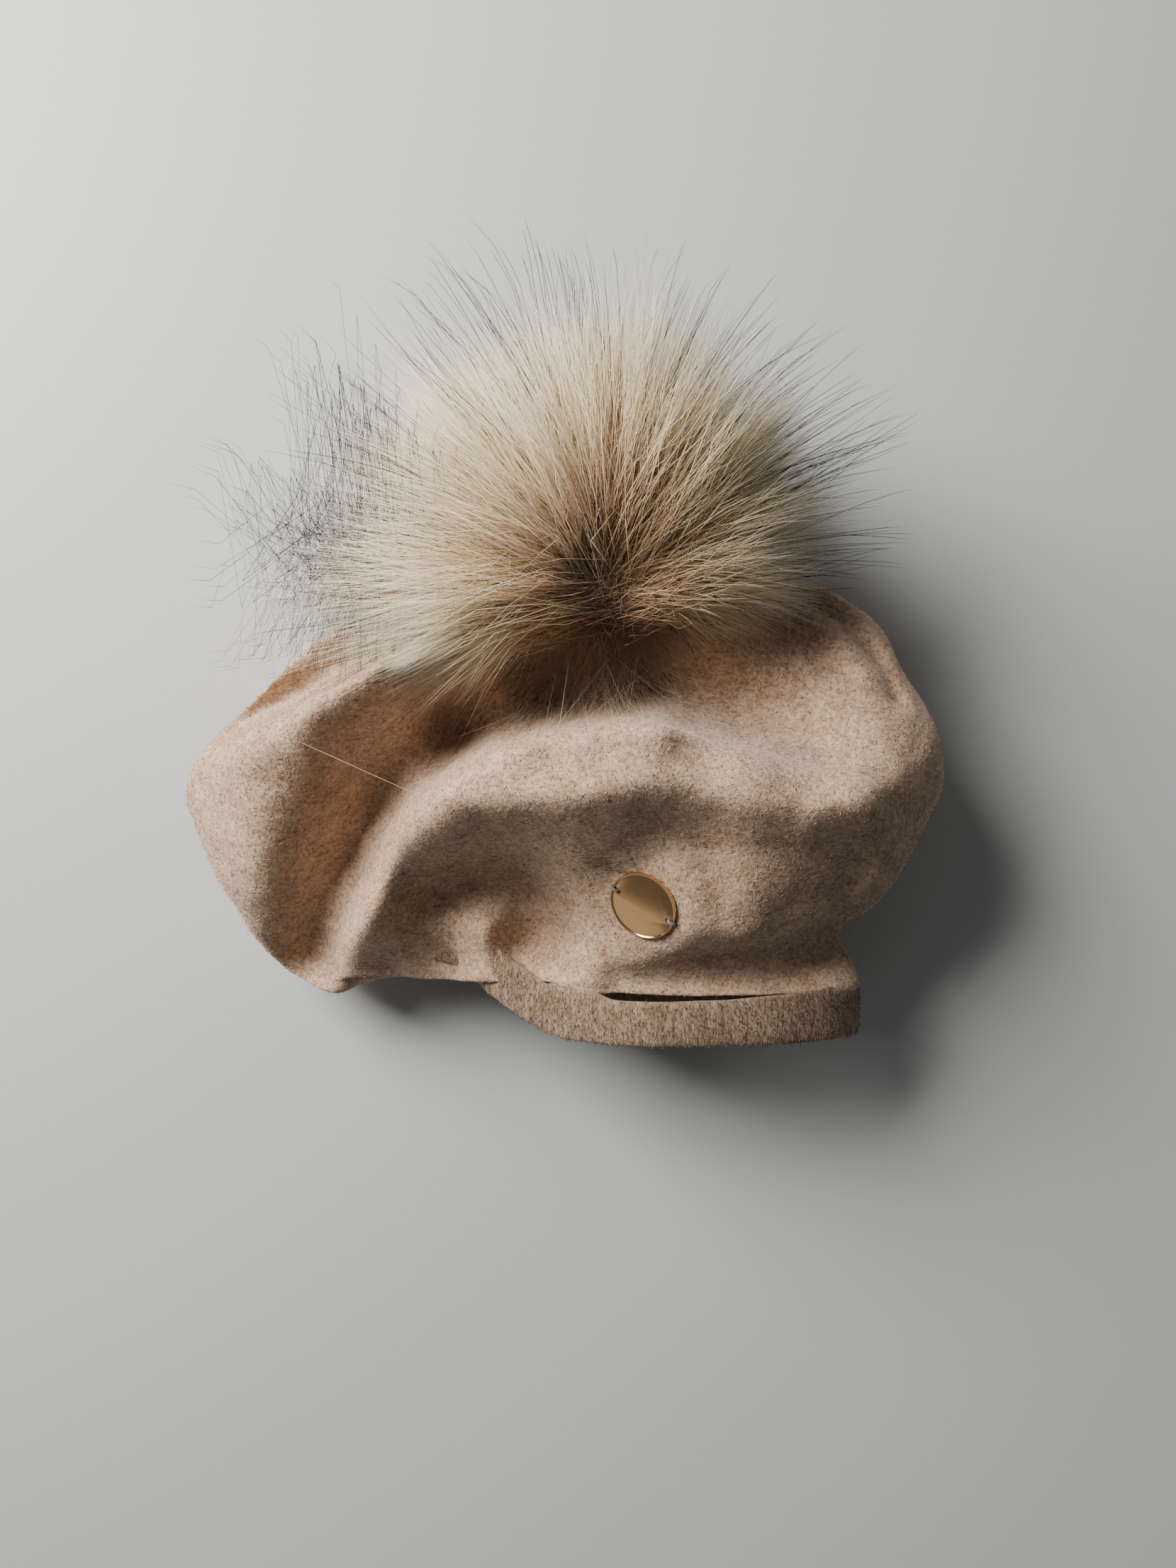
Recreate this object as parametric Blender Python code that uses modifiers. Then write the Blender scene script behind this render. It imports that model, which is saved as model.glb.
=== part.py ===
"""Felt beret with a fur pompom, lying on its back.

The opening for the head faces -Y, the front with its badge faces up, and the pompom lies at +Y.
The origin is on the ground under the middle of the crown. Metres, +Z up.

crown      one hollow shell of felt, lofted through sections that run from side to side
headband   a strip of felt in a loop, edge to edge with the crown's mouth
pompom     a round head with tapering locks of fur drawn out of its faces
badge      a thin metal disc with a raised rim and two sewing holes, on a flat of the crown
"""

import math

import bmesh
import bpy
import numpy as np
from mathutils import Matrix, Vector
from mathutils.bvhtree import BVHTree

MM = 0.001

# Crown: half its width and depth seen from above, its height as it lies, and the felt
CROWN_HALF_WIDTH = 143 * MM
CROWN_HALF_DEPTH = 83 * MM
CROWN_HEIGHT = 105 * MM
FELT_THICKNESS = 2.5 * MM

# Mouth of the crown, where the headband begins: a flattened loop whose left is pinched and sunk,
# and set back beneath the crown, each from the first to the second share of its half width
MOUTH_HALF_WIDTH = 88 * MM
MOUTH_HEIGHT = 73 * MM
MOUTH_SIDE_OFFSET = 26 * MM
MOUTH_DEPTH = CROWN_HALF_DEPTH - 7 * MM
MOUTH_SETBACK = 22 * MM
MOUTH_SETBACK_RANGE = (-0.25, -0.85)
MOUTH_SQUARENESS = 2.3
MOUTH_PINCH = 0.62
MOUTH_SINK = 0.20
MOUTH_PINCH_RANGE = (0.16, -0.80)
COLLAR_LENGTH = 2.5 * MM

# Headband
BAND_HEIGHT = 17 * MM
BAND_THICKNESS = 3.5 * MM
BAND_EDGE_ROUNDING = 1.05 * MM
PIECE_GAP = 0.3 * MM

# Section of the headband: shares of its height and of its thickness, then how much of the
# rounding is taken off the height there
BAND_SECTION = (
    # height, thickness, rounding
    (0.0, 0.0, 0.0),
    (0.5, 0.0, 0.0),
    (1.0, 0.0, 1.0),
    (1.0, 0.35, 0.0),
    (1.0, 0.65, 0.0),
    (1.0, 1.0, 1.0),
    (0.0, 1.0, 0.0),
)

# Badge, and the flat of the crown that it lies on
BADGE_DIAMETER = 25 * MM
BADGE_THICKNESS = 1.0 * MM
BADGE_RIM_WIDTH = 0.9 * MM
BADGE_RIM_HEIGHT = 0.4 * MM
BADGE_RIM_FLAT = 0.7
BADGE_HOLE_DIAMETER = 1.8 * MM
BADGE_HOLE_MARGIN = 1.6 * MM
BADGE_TURN = math.radians(-19)
BADGE_FLAT_MARGIN = 2 * MM
BADGE_FLAT_BLEND = 12 * MM
BADGE_PLACE = (0.21, -0.50)
BADGE_SLOPE = (0.60, 0.42)

# Pompom: its head, and the locks that fall from it
HEAD_RADIUS = 21 * MM
LOCK_LENGTH = 84 * MM
LOCK_SHORTEST = 28 * MM
LOCK_LEAST = 0.52
LOCK_SPREAD = 0.34
LOCK_SIDEWAYS = 0.30
LOCK_LEFTWARD = 0.15
LOCK_BREADTH = 0.9
LOCK_INSET = 1.3 * MM
LOCK_FLATTENING = 0.80
LOCK_SWEEP = (-10 * MM, 8 * MM)
LOCK_DROOP = 34 * MM
LOCK_UPRIGHTNESS = 0.75
LOCK_CLEARANCE = 2.5 * MM
LOCK_SHORTENING = 0.86
GROUND_CLEARANCE = 0.4 * MM
GROUND_SOFTNESS = 26 * MM
POMPOM_PLACE = (0.12, 0.84)
POMPOM_LEAN = (0.0, 0.62, 0.78)

# Outline of the crown from above: direction in degrees from +X, how far it reaches as a share
# of the half width and half depth, and the height of the edge there as a share of the height
OUTLINE = (
    # direction, reach, edge
    (0, 0.99, 0.43),
    (15, 1.01, 0.43),
    (30, 1.03, 0.43),
    (45, 1.12, 0.41),
    (60, 1.11, 0.40),
    (75, 1.06, 0.39),
    (90, 1.00, 0.38),
    (110, 0.96, 0.38),
    (130, 0.93, 0.38),
    (150, 0.91, 0.38),
    (165, 0.95, 0.37),
    (180, 1.00, 0.37),
    (200, 1.00, 0.35),
    (215, 1.05, 0.33),
    (230, 1.16, 0.33),
    (240, 1.16, 0.34),
    (252, 1.00, 0.36),
    (270, 0.90, 0.40),
    (290, 0.89, 0.42),
    (308, 0.94, 0.43),
    (325, 0.99, 0.43),
    (342, 0.96, 0.43),
)

# Ridges and hollows of the upper side. Each runs through a few points: their place as shares of
# the half width and half depth, and their height as a share of the crown's height. The lean is
# how far the top of a ridge hangs over to the left of its run, the breadth how wide that part is.
FOLDS = (
    # name, lean, breadth, points
    ("crest", 11 * MM, 14 * MM, (
        (-0.60, -0.86, 0.44),
        (-0.46, -0.55, 0.61),
        (-0.36, -0.19, 0.80),
        (-0.26, -0.02, 0.92),
        (-0.13, 0.11, 0.97),
        (0.04, 0.19, 1.00),
        (0.22, 0.19, 1.00),
        (0.45, 0.06, 0.97),
        (0.62, -0.06, 0.94),
        (0.76, -0.08, 0.88),
    )),
    ("valley", 0, 0, (
        (-0.66, -0.70, 0.40),
        (-0.57, -0.36, 0.46),
        (-0.47, -0.02, 0.50),
        (-0.28, 0.26, 0.55),
        (-0.03, 0.41, 0.57),
        (0.22, 0.45, 0.60),
        (0.42, 0.36, 0.65),
        (0.58, 0.24, 0.72),
    )),
    ("left_ridge", 11 * MM, 13 * MM, (
        (-0.93, 0.07, 0.50),
        (-0.79, 0.17, 0.70),
        (-0.57, 0.32, 0.88),
        (-0.38, 0.44, 0.93),
        (-0.20, 0.57, 0.93),
        (0.00, 0.70, 0.89),
    )),
    ("rear_crease", 0, 0, (
        (-0.86, 0.32, 0.30),
        (-0.70, 0.46, 0.34),
        (-0.52, 0.60, 0.44),
    )),
    ("rear_rise", 0, 0, (
        (-0.74, 0.62, 0.44),
        (-0.52, 0.80, 0.56),
        (-0.20, 0.84, 0.78),
        (0.12, 0.82, 0.84),
        (0.36, 0.68, 0.80),
    )),
    ("left_lobe", 0, 0, (
        (-0.80, -0.17, 0.66),
        (-0.74, -0.48, 0.60),
        (-0.62, -0.12, 0.66),
    )),
    ("right_rise", 0, 0, (
        (0.80, 0.10, 0.86),
        (0.84, 0.36, 0.76),
        (0.76, 0.62, 0.66),
        (0.58, 0.78, 0.60),
    )),
    ("front_hollow", 0, 0, (
        (-0.28, -0.76, 0.60),
        (-0.20, -0.46, 0.58),
        (-0.02, -0.50, 0.62),
        (0.02, -0.80, 0.64),
    )),
    ("front_bulge", -9 * MM, 13 * MM, (
        (0.28, -0.62, 0.80),
        (0.44, -0.60, 0.86),
        (0.58, -0.56, 0.86),
        (0.72, -0.48, 0.78),
    )),
    ("front_shoulder", 0, 0, (
        (0.30, -0.30, 0.84),
        (0.56, -0.30, 0.86),
        (0.78, -0.34, 0.76),
    )),
    ("mouth_crease", 0, 0, (
        (0.12, -0.92, 0.64),
        (0.36, -0.88, 0.58),
        (0.56, -0.86, 0.50),
        (0.72, -0.80, 0.44),
    )),
)
FOLD_ROUNDNESS = 9 * MM
LEAN_REACH = 1.6
LEAN_EDGE_SOFTNESS = 1.3

# How full the edges are, the flat it lies on, and the stretch at the mouth that has no edge: its
# middle and half its width in degrees, and how far beyond the outline the fullness goes on.
# The sections start and end at these directions of the outline, left and right
EDGE_FULLNESS = 3.6
BACK_FLATNESS = 1.05
UPPER_OPENING = (290, 33, 0.55)
BACK_OPENING = (280, 41, 0.80)
SECTION_START = (240, 318)
SECTION_END = (90, 450)
SECTION_CROWDING = 1.05

# Fineness of the meshes
CROWN_SECTIONS = 28
CROWN_UPPER_STEPS = 40
CROWN_BACK_STEPS = 18
SAMPLES = 240
MOUTH_SAMPLES = 720
BADGE_STEPS = 32
HOLE_STEPS = 12
SEATING_STEPS = 20
LOCK_CHECKS = 18
SHARP_ANGLE = math.radians(60)

# Lengths along a lock as shares of it, and its breadth there
LOCK_STATIONS = (
    # along, breadth
    (0.40, 0.98),
    (0.66, 0.80),
    (0.86, 0.46),
    (1.00, 0.10),
)

# Colour, roughness and metallic of each piece
FINISHES = {
    "crown": ((0.50, 0.37, 0.28), 0.95, 0.0),
    "headband": ((0.46, 0.34, 0.26), 0.95, 0.0),
    "badge": ((0.72, 0.42, 0.22), 0.18, 1.0),
    "pompom": ((0.74, 0.58, 0.38), 0.9, 0.0),
}


def smooth(value):
    """Smooth step from 0 to 1."""
    value = np.clip(value, 0.0, 1.0)
    return value * value * (3.0 - 2.0 * value)


def outline_at(direction, column):
    """Reads a column of OUTLINE round the crown, as a smooth closed curve."""
    rows = np.array(OUTLINE, dtype=float)
    angles, values = rows[:, 0], rows[:, column]
    count = len(rows)
    direction = np.asarray(direction, dtype=float) % 360.0
    here = np.searchsorted(angles, direction, side="right") - 1
    spans = np.diff(np.append(angles, angles[0] + 360.0))
    share = (direction - angles[here]) / spans[here]
    before, start, end, after = (values[(here + step) % count] for step in (-1, 0, 1, 2))
    out_slope = (end - before) / (1.0 + spans[(here - 1) % count] / spans[here])
    in_slope = (after - start) / (1.0 + spans[(here + 1) % count] / spans[here])
    square, cube = share**2, share**3
    return (
        (2 * cube - 3 * square + 1) * start
        + (cube - 2 * square + share) * out_slope
        + (3 * square - 2 * cube) * end
        + (cube - square) * in_slope
    )


def outline_point(direction):
    """Point of the outline in a direction, in plan."""
    reach = outline_at(direction, 1)
    angle = np.radians(direction)
    half = np.array([CROWN_HALF_WIDTH, CROWN_HALF_DEPTH])
    return half * reach * np.array([np.cos(angle), np.sin(angle)])


def edge_fullness(x, y, opening):
    """How far a plan point is up from the edge, 0 on the outline, and the edge's height there."""
    direction = np.degrees(np.arctan2(y / CROWN_HALF_DEPTH, x / CROWN_HALF_WIDTH))
    middle, width, extra = opening
    turn = (direction - middle + 180.0) % 360.0 - 180.0
    front = np.where(np.abs(turn) < width, np.cos(turn / width * math.pi / 2) ** 2, 0.0)
    reach = outline_at(direction, 1) * (1.0 + extra * front)
    share = np.hypot(x / CROWN_HALF_WIDTH, y / CROWN_HALF_DEPTH) / reach
    fullness = (1.0 - np.clip(share, 0.0, 1.0) ** EDGE_FULLNESS) ** (1.0 / EDGE_FULLNESS)
    return fullness, outline_at(direction, 2) * CROWN_HEIGHT


def fold_path(fold):
    """Plan points of a fold before it leans over, with the direction that it leans in."""
    points = np.array([(x * CROWN_HALF_WIDTH, y * CROWN_HALF_DEPTH) for x, y, _ in fold[3]])
    run = np.gradient(points, axis=0)
    run /= np.linalg.norm(run, axis=1)[:, None]
    left = np.stack([-run[:, 1], run[:, 0]], axis=1)
    return points - fold[1] * left, left


def height_knots():
    """Plan points and heights of all the folds."""
    places = np.concatenate([fold_path(fold)[0] for fold in FOLDS])
    heights = np.array([point[2] * CROWN_HEIGHT for fold in FOLDS for point in fold[3]])
    return places, heights


def solve_heights():
    """Weights of a smooth sheet through all the fold points."""
    places, heights = height_knots()
    middle = heights.mean()
    distance = np.linalg.norm(places[:, None] - places[None, :], axis=2)
    weights = np.linalg.solve(np.sqrt(distance**2 + FOLD_ROUNDNESS**2), heights - middle)
    return places, weights, middle


SHEET = solve_heights()


def sheet_height(x, y):
    """Height of the folded upper side before the edges are rounded."""
    places, weights, middle = SHEET
    offset = np.stack([x, y], axis=-1)[..., None, :] - places
    return np.sqrt((offset**2).sum(-1) + FOLD_ROUNDNESS**2) @ weights + middle


def lean(x, y):
    """How far the folds carry a plan point sideways."""
    shift = np.zeros(np.shape(x) + (2,))
    for fold in FOLDS:
        if not fold[1]:
            continue
        points, left = fold_path(fold)
        offset = np.stack([x, y], axis=-1)[..., None, :] - points
        nearness = np.exp(-((offset**2).sum(-1)) / (LEAN_REACH * fold[2]) ** 2)
        share = nearness / (nearness.sum(-1, keepdims=True) + 1e-9)
        along = (share[..., None] * left).sum(-2)
        middle = (share[..., None] * points).sum(-2)
        across = ((np.stack([x, y], axis=-1) - middle) * along).sum(-1)
        near = np.clip(nearness.sum(-1), 0.0, 1.0) * np.exp(-((across / fold[2]) ** 2))
        shift += fold[1] * near[..., None] * along
    return shift


def upper_side(x, y):
    """Points of the upper side over plan points."""
    fullness, edge = edge_fullness(x, y, UPPER_OPENING)
    centre = np.array([BADGE_PLACE[0] * CROWN_HALF_WIDTH, BADGE_PLACE[1] * CROWN_HALF_DEPTH])
    far = np.hypot(x - centre[0], y - centre[1]) - BADGE_DIAMETER / 2 - BADGE_FLAT_MARGIN
    flat = 1.0 - smooth(far / BADGE_FLAT_BLEND)
    plane = sheet_height(*centre) + BADGE_SLOPE[0] * (x - centre[0]) + BADGE_SLOPE[1] * (y - centre[1])
    height = edge + (sheet_height(x, y) - edge) * fullness
    shift = lean(x, y) * (smooth(fullness * LEAN_EDGE_SOFTNESS) * (1.0 - flat))[..., None]
    height = height * (1.0 - flat) + plane * flat
    return np.stack([x + shift[..., 0], y + shift[..., 1], height], axis=-1)


def back_side(x, y):
    """Points of the side that lies on the ground."""
    fullness, edge = edge_fullness(x, y, BACK_OPENING)
    return np.stack([x, y, edge * (1.0 - np.clip(fullness * BACK_FLATNESS, 0.0, 1.0))], axis=-1)


def spread(points, count):
    """Sets count points at even steps along a run of points, ends included."""
    steps = np.linalg.norm(np.diff(points, axis=0), axis=1)
    along = np.concatenate([[0.0], np.cumsum(steps)])
    wanted = np.linspace(0.0, along[-1], count)
    return np.stack([np.interp(wanted, along, points[:, axis]) for axis in range(3)], axis=1)


def closed_ring(upper, back):
    """One ring round the crown: over the upper side from left to right, and back beneath."""
    over = spread(upper, CROWN_UPPER_STEPS + 1)
    under = spread(back, CROWN_BACK_STEPS + 1)
    return np.concatenate([over, under[1:-1]])


def section(share):
    """Ring of the crown on a line across it, from the mouth at 0 to the far end at 1."""
    start, end = (outline_point(a + (b - a) * share) for a, b in zip(SECTION_START, SECTION_END))
    across = np.linspace(0.0, 1.0, SAMPLES)[:, None]
    line = start + (end - start) * (0.5 - 0.5 * np.cos(math.pi * across))
    x, y = line[:, 0], line[:, 1]
    return closed_ring(upper_side(x, y), back_side(x, y)[::-1])


def leftward(across, stretch):
    """Smooth step over a stretch that runs to the left."""
    return smooth((stretch[0] - across) / (stretch[0] - stretch[1]))


def mouth_loop(along, inset, angles):
    """Loop round the mouth: along its axis towards -Y, and inset from its outer face."""
    power = 2.0 / MOUTH_SQUARENESS
    fine = np.linspace(0.0, 2.0 * math.pi, MOUTH_SAMPLES, endpoint=False)
    across = np.sign(np.cos(fine)) * np.abs(np.cos(fine)) ** power
    upward = np.sign(np.sin(fine)) * np.abs(np.sin(fine)) ** power
    left = leftward(across, MOUTH_PINCH_RANGE)
    half = MOUTH_HEIGHT / 2.0
    x = MOUTH_SIDE_OFFSET + MOUTH_HALF_WIDTH * across
    z = half * (1.0 - MOUTH_SINK * left + upward * (1.0 - MOUTH_PINCH * left))
    loop = np.stack([x, z], axis=1)
    run = np.roll(loop, -1, axis=0) - np.roll(loop, 1, axis=0)
    run /= np.linalg.norm(run, axis=1)[:, None]
    loop = loop + inset * np.stack([-run[:, 1], run[:, 0]], axis=1)
    back = MOUTH_SETBACK * leftward(across, MOUTH_SETBACK_RANGE) - MOUTH_DEPTH - along
    columns = [loop[:, 0], back, loop[:, 1]]
    return np.stack([np.interp(angles, fine, column, period=2 * math.pi) for column in columns], axis=1)


def mouth_ring(along, inset):
    """Ring of the crown at its mouth, from the left end over the top and back beneath."""
    over = mouth_loop(along, inset, np.linspace(math.pi, 0.0, SAMPLES))
    under = mouth_loop(along, inset, np.linspace(2.0 * math.pi, math.pi, SAMPLES))
    return closed_ring(over, under)


def loft(mesh, rings, closed):
    """Skins a run of rings with quads; closed joins the last ring to the first."""
    loops = [[mesh.verts.new(point) for point in ring] for ring in rings]
    pairs = list(zip(loops, loops[1:] + loops[:1] if closed else loops[1:]))
    for first, second in pairs:
        for index in range(len(first)):
            following = (index + 1) % len(first)
            mesh.faces.new((first[index], first[following], second[following], second[index]))
    return loops


def finish(mesh, name):
    """Makes the object of a mesh, with its normals outward."""
    bmesh.ops.recalc_face_normals(mesh, faces=mesh.faces)
    data = bpy.data.meshes.new(name)
    mesh.to_mesh(data)
    mesh.free()
    thing = bpy.data.objects.new(name, data)
    parts.objects.link(thing)
    return thing


def shade_round(thing):
    """Shades a piece smooth, with its sharp edges kept."""
    thing.data.shade_smooth()
    thing.data.set_sharp_from_angle(angle=SHARP_ANGLE)
    return thing


def dress(thing):
    """Gives a piece its own material."""
    colour, roughness, metallic = FINISHES[thing.name]
    material = bpy.data.materials.new(thing.name)
    material.use_nodes = True
    shader = material.node_tree.nodes["Principled BSDF"]
    shader.inputs["Base Color"].default_value = (*colour, 1.0)
    shader.inputs["Roughness"].default_value = roughness
    shader.inputs["Metallic"].default_value = metallic
    thing.data.materials.append(material)
    return thing


def make_crown():
    """Hollow shell of felt: a collar at the mouth, then the sections, closed at the far end.

    Returns its outer face, on which the badge and the pompom are seated.
    """
    collar = [mouth_ring(-along, 0.0) for along in (0.0, COLLAR_LENGTH)]
    shares = [(index / CROWN_SECTIONS) ** SECTION_CROWDING for index in range(CROWN_SECTIONS)]
    rings = collar + [section(share) for share in shares]
    mesh = bmesh.new()
    loops = loft(mesh, rings, closed=False)
    far_end = mesh.verts.new(section(1.0).mean(axis=0))
    last = loops[-1]
    for index in range(len(last)):
        mesh.faces.new((last[index], last[(index + 1) % len(last)], far_end))
    bmesh.ops.triangulate(mesh, faces=mesh.faces)
    bmesh.ops.recalc_face_normals(mesh, faces=mesh.faces)
    surface = BVHTree.FromBMesh(mesh)
    crown = shade_round(finish(mesh, "crown"))
    shell = crown.modifiers.new("felt", "SOLIDIFY")
    shell.thickness = FELT_THICKNESS
    shell.offset = -1.0
    dress(crown)
    return surface


def make_headband():
    """Strip of felt in a loop, its edge facing the crown's mouth."""
    rings = []
    for height, thickness, rounding in BAND_SECTION:
        along = PIECE_GAP + (BAND_HEIGHT - PIECE_GAP) * height - BAND_EDGE_ROUNDING * rounding
        rings.append(mouth_ring(along, BAND_THICKNESS * thickness))
    mesh = bmesh.new()
    loft(mesh, rings, closed=True)
    return dress(shade_round(finish(mesh, "headband")))


def seat_ball(place, direction, radius, support):
    """Middle of a ball moved along a direction until it clears what carries it by the gap."""
    centre = place + direction * radius
    for _ in range(SEATING_STEPS):
        centre += direction * (radius + PIECE_GAP - signed_distance(support, centre))
    return centre


def signed_distance(support, point):
    """Distance from a surface, less than zero behind it."""
    place, normal, _, distance = support.find_nearest(point)
    return distance if (point - place).dot(normal) > 0 else -distance


def surface_at(support, share_x, share_y):
    """Point and normal of the crown's upper side over a place in its plan."""
    above = Vector((share_x * CROWN_HALF_WIDTH, share_y * CROWN_HALF_DEPTH, 3 * CROWN_HEIGHT))
    place, normal, _, _ = support.ray_cast(above, Vector((0, 0, -1)))
    return place, normal


def round_bar(mesh, radius, depth, steps):
    """Upright round bar with its middle at the origin."""
    bmesh.ops.create_cone(
        mesh, cap_ends=True, segments=steps, radius1=radius, radius2=radius, depth=depth
    )


def make_badge(support):
    """Round badge: a disc with a raised rim and two holes, laid on the flat of the crown."""
    radius = BADGE_DIAMETER / 2
    mesh = bmesh.new()
    round_bar(mesh, radius, BADGE_THICKNESS, BADGE_STEPS)
    top = max(mesh.faces, key=lambda face: face.calc_center_median().z)
    flat, fall_off = BADGE_RIM_WIDTH * BADGE_RIM_FLAT, BADGE_RIM_WIDTH * (1.0 - BADGE_RIM_FLAT)
    bmesh.ops.inset_individual(mesh, faces=[top], thickness=flat)
    bmesh.ops.inset_individual(mesh, faces=[top], thickness=fall_off, depth=-BADGE_RIM_HEIGHT)
    badge = finish(mesh, "badge")
    for side in (-1, 1):
        cutter = bmesh.new()
        round_bar(cutter, BADGE_HOLE_DIAMETER / 2, 4 * BADGE_THICKNESS, HOLE_STEPS)
        reach = radius - BADGE_RIM_WIDTH - BADGE_HOLE_MARGIN
        bmesh.ops.translate(cutter, verts=cutter.verts, vec=(side * reach, 0, 0))
        drill = finish(cutter, "badge_drill")
        parts.objects.unlink(drill)
        cutters.objects.link(drill)
        drill.hide_render = True
        drill.display_type = "WIRE"
        cut = badge.modifiers.new("hole", "BOOLEAN")
        cut.operation = "DIFFERENCE"
        cut.object = drill
        place_badge(drill, support)
    place_badge(badge, support)
    return dress(badge)


def place_badge(thing, support):
    """Lays a piece of the badge on the flat of the crown, turned as it is sewn."""
    place, _ = surface_at(support, *BADGE_PLACE)
    normal = Vector((-BADGE_SLOPE[0], -BADGE_SLOPE[1], 1.0)).normalized()
    across = Vector((math.cos(BADGE_TURN), math.sin(BADGE_TURN), 0.0))
    across = (across - normal * across.dot(normal)).normalized()
    turn = Matrix((across, normal.cross(across), normal)).transposed().to_4x4()
    lift = PIECE_GAP + BADGE_THICKNESS / 2
    thing.matrix_world = Matrix.Translation(place + normal * lift) @ turn


def golden_share(index):
    """Even but unordered shares between 0 and 1."""
    return (index * 0.6180339887) % 1.0


def fall(centre, direction, distance):
    """Where a lock lies that leaves the head in a direction: flattened, swept back and drooping."""
    reach = distance / LOCK_LENGTH
    place = centre + direction * distance
    place.z = centre.z + direction.z * distance * (LOCK_FLATTENING if direction.z > 0 else 1.0)
    place.x += LOCK_SWEEP[0] * reach**2
    place.y += LOCK_SWEEP[1] * reach**2
    place.z -= LOCK_DROOP * reach**2 * (1.0 - LOCK_UPRIGHTNESS * max(direction.z, 0.0))
    if place.z < GROUND_SOFTNESS:
        depth = GROUND_SOFTNESS - GROUND_CLEARANCE
        place.z = GROUND_CLEARANCE + depth * math.exp((place.z - GROUND_SOFTNESS) / depth)
    return place


def lock_corner(centre, middle, corner, distance, breadth):
    """Corner of a lock's section at a distance from the head's middle."""
    direction = (middle + (corner - middle) * breadth).normalized()
    return fall(centre, direction, distance)


def lock_clears(centre, middle, corners, length, support):
    """Whether a lock of a length stays off the felt all the way."""
    alongs, breadths = zip(*LOCK_STATIONS)
    for share in np.linspace(0.0, 1.0, LOCK_CHECKS)[1:]:
        distance = HEAD_RADIUS + (length - HEAD_RADIUS) * share
        breadth = np.interp(share, alongs, breadths)
        for corner in corners:
            place = lock_corner(centre, middle, corner, distance, breadth)
            if signed_distance(support, place) < LOCK_CLEARANCE:
                return False
    return True


def lock_length(centre, middle, corners, index, support):
    """Length of a lock: longer away from the crown, uneven, and short where felt is in its way."""
    sideways = abs(middle.x) + max(middle.y, 0.0) - LOCK_LEFTWARD * middle.x
    share = LOCK_LEAST + LOCK_SIDEWAYS * sideways + LOCK_SPREAD * golden_share(index)
    length = LOCK_LENGTH * share
    while length > LOCK_SHORTEST:
        if lock_clears(centre, middle, corners, length, support):
            return length
        length *= LOCK_SHORTENING
    return 0.0


def make_pompom(support):
    """Head of the pompom with a lock drawn out of each face that has room."""
    place, _ = surface_at(support, *POMPOM_PLACE)
    leaning = Vector(POMPOM_LEAN).normalized()
    centre = seat_ball(place, leaning, HEAD_RADIUS, support)
    foot = support.find_nearest(centre)[0] - centre
    turn = Vector((0, 0, -1)).rotation_difference(foot).to_matrix().to_4x4()
    mesh = bmesh.new()
    seat = Matrix.Translation(centre) @ turn
    bmesh.ops.create_icosphere(mesh, subdivisions=2, radius=HEAD_RADIUS, matrix=seat)
    for index, face in enumerate(list(mesh.faces)):
        middle = (face.calc_center_median() - centre).normalized()
        corners = [(vertex.co - centre).normalized() for vertex in face.verts]
        length = lock_length(centre, middle, corners, index, support)
        if not length:
            continue
        bmesh.ops.inset_individual(mesh, faces=[face], thickness=LOCK_INSET)
        for share, breadth in LOCK_STATIONS:
            drawn = bmesh.ops.extrude_discrete_faces(mesh, faces=[face])["faces"]
            face = drawn[0]
            for vertex, corner in zip(face.verts, corners):
                distance = HEAD_RADIUS + (length - HEAD_RADIUS) * share
                vertex.co = lock_corner(centre, middle, corner, distance, LOCK_BREADTH * breadth)
    return dress(shade_round(finish(mesh, "pompom")))


for thing in list(bpy.data.objects):
    bpy.data.objects.remove(thing, do_unlink=True)
parts = bpy.data.collections.new("felt_beret")
cutters = bpy.data.collections.new("cutters")
bpy.context.scene.collection.children.link(parts)
bpy.context.scene.collection.children.link(cutters)

crown_surface = make_crown()
make_headband()
make_badge(crown_surface)
make_pompom(crown_surface)
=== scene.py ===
"""Looks of a felt beret that lies on its back on a pale table.

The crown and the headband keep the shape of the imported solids, smoothed, with a nap of short
fibres on them. The pompom is built of underfur, of guard hairs with dark tips and of the short
fur that spreads over the felt. The badge is polished metal, held by two stitches.
"""

import logging
import math
from dataclasses import dataclass
from enum import Enum
from typing import Any, Sequence

import bmesh
import bpy
import numpy as np
from mathutils import Matrix, Vector
from mathutils.bvhtree import BVHTree


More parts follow.
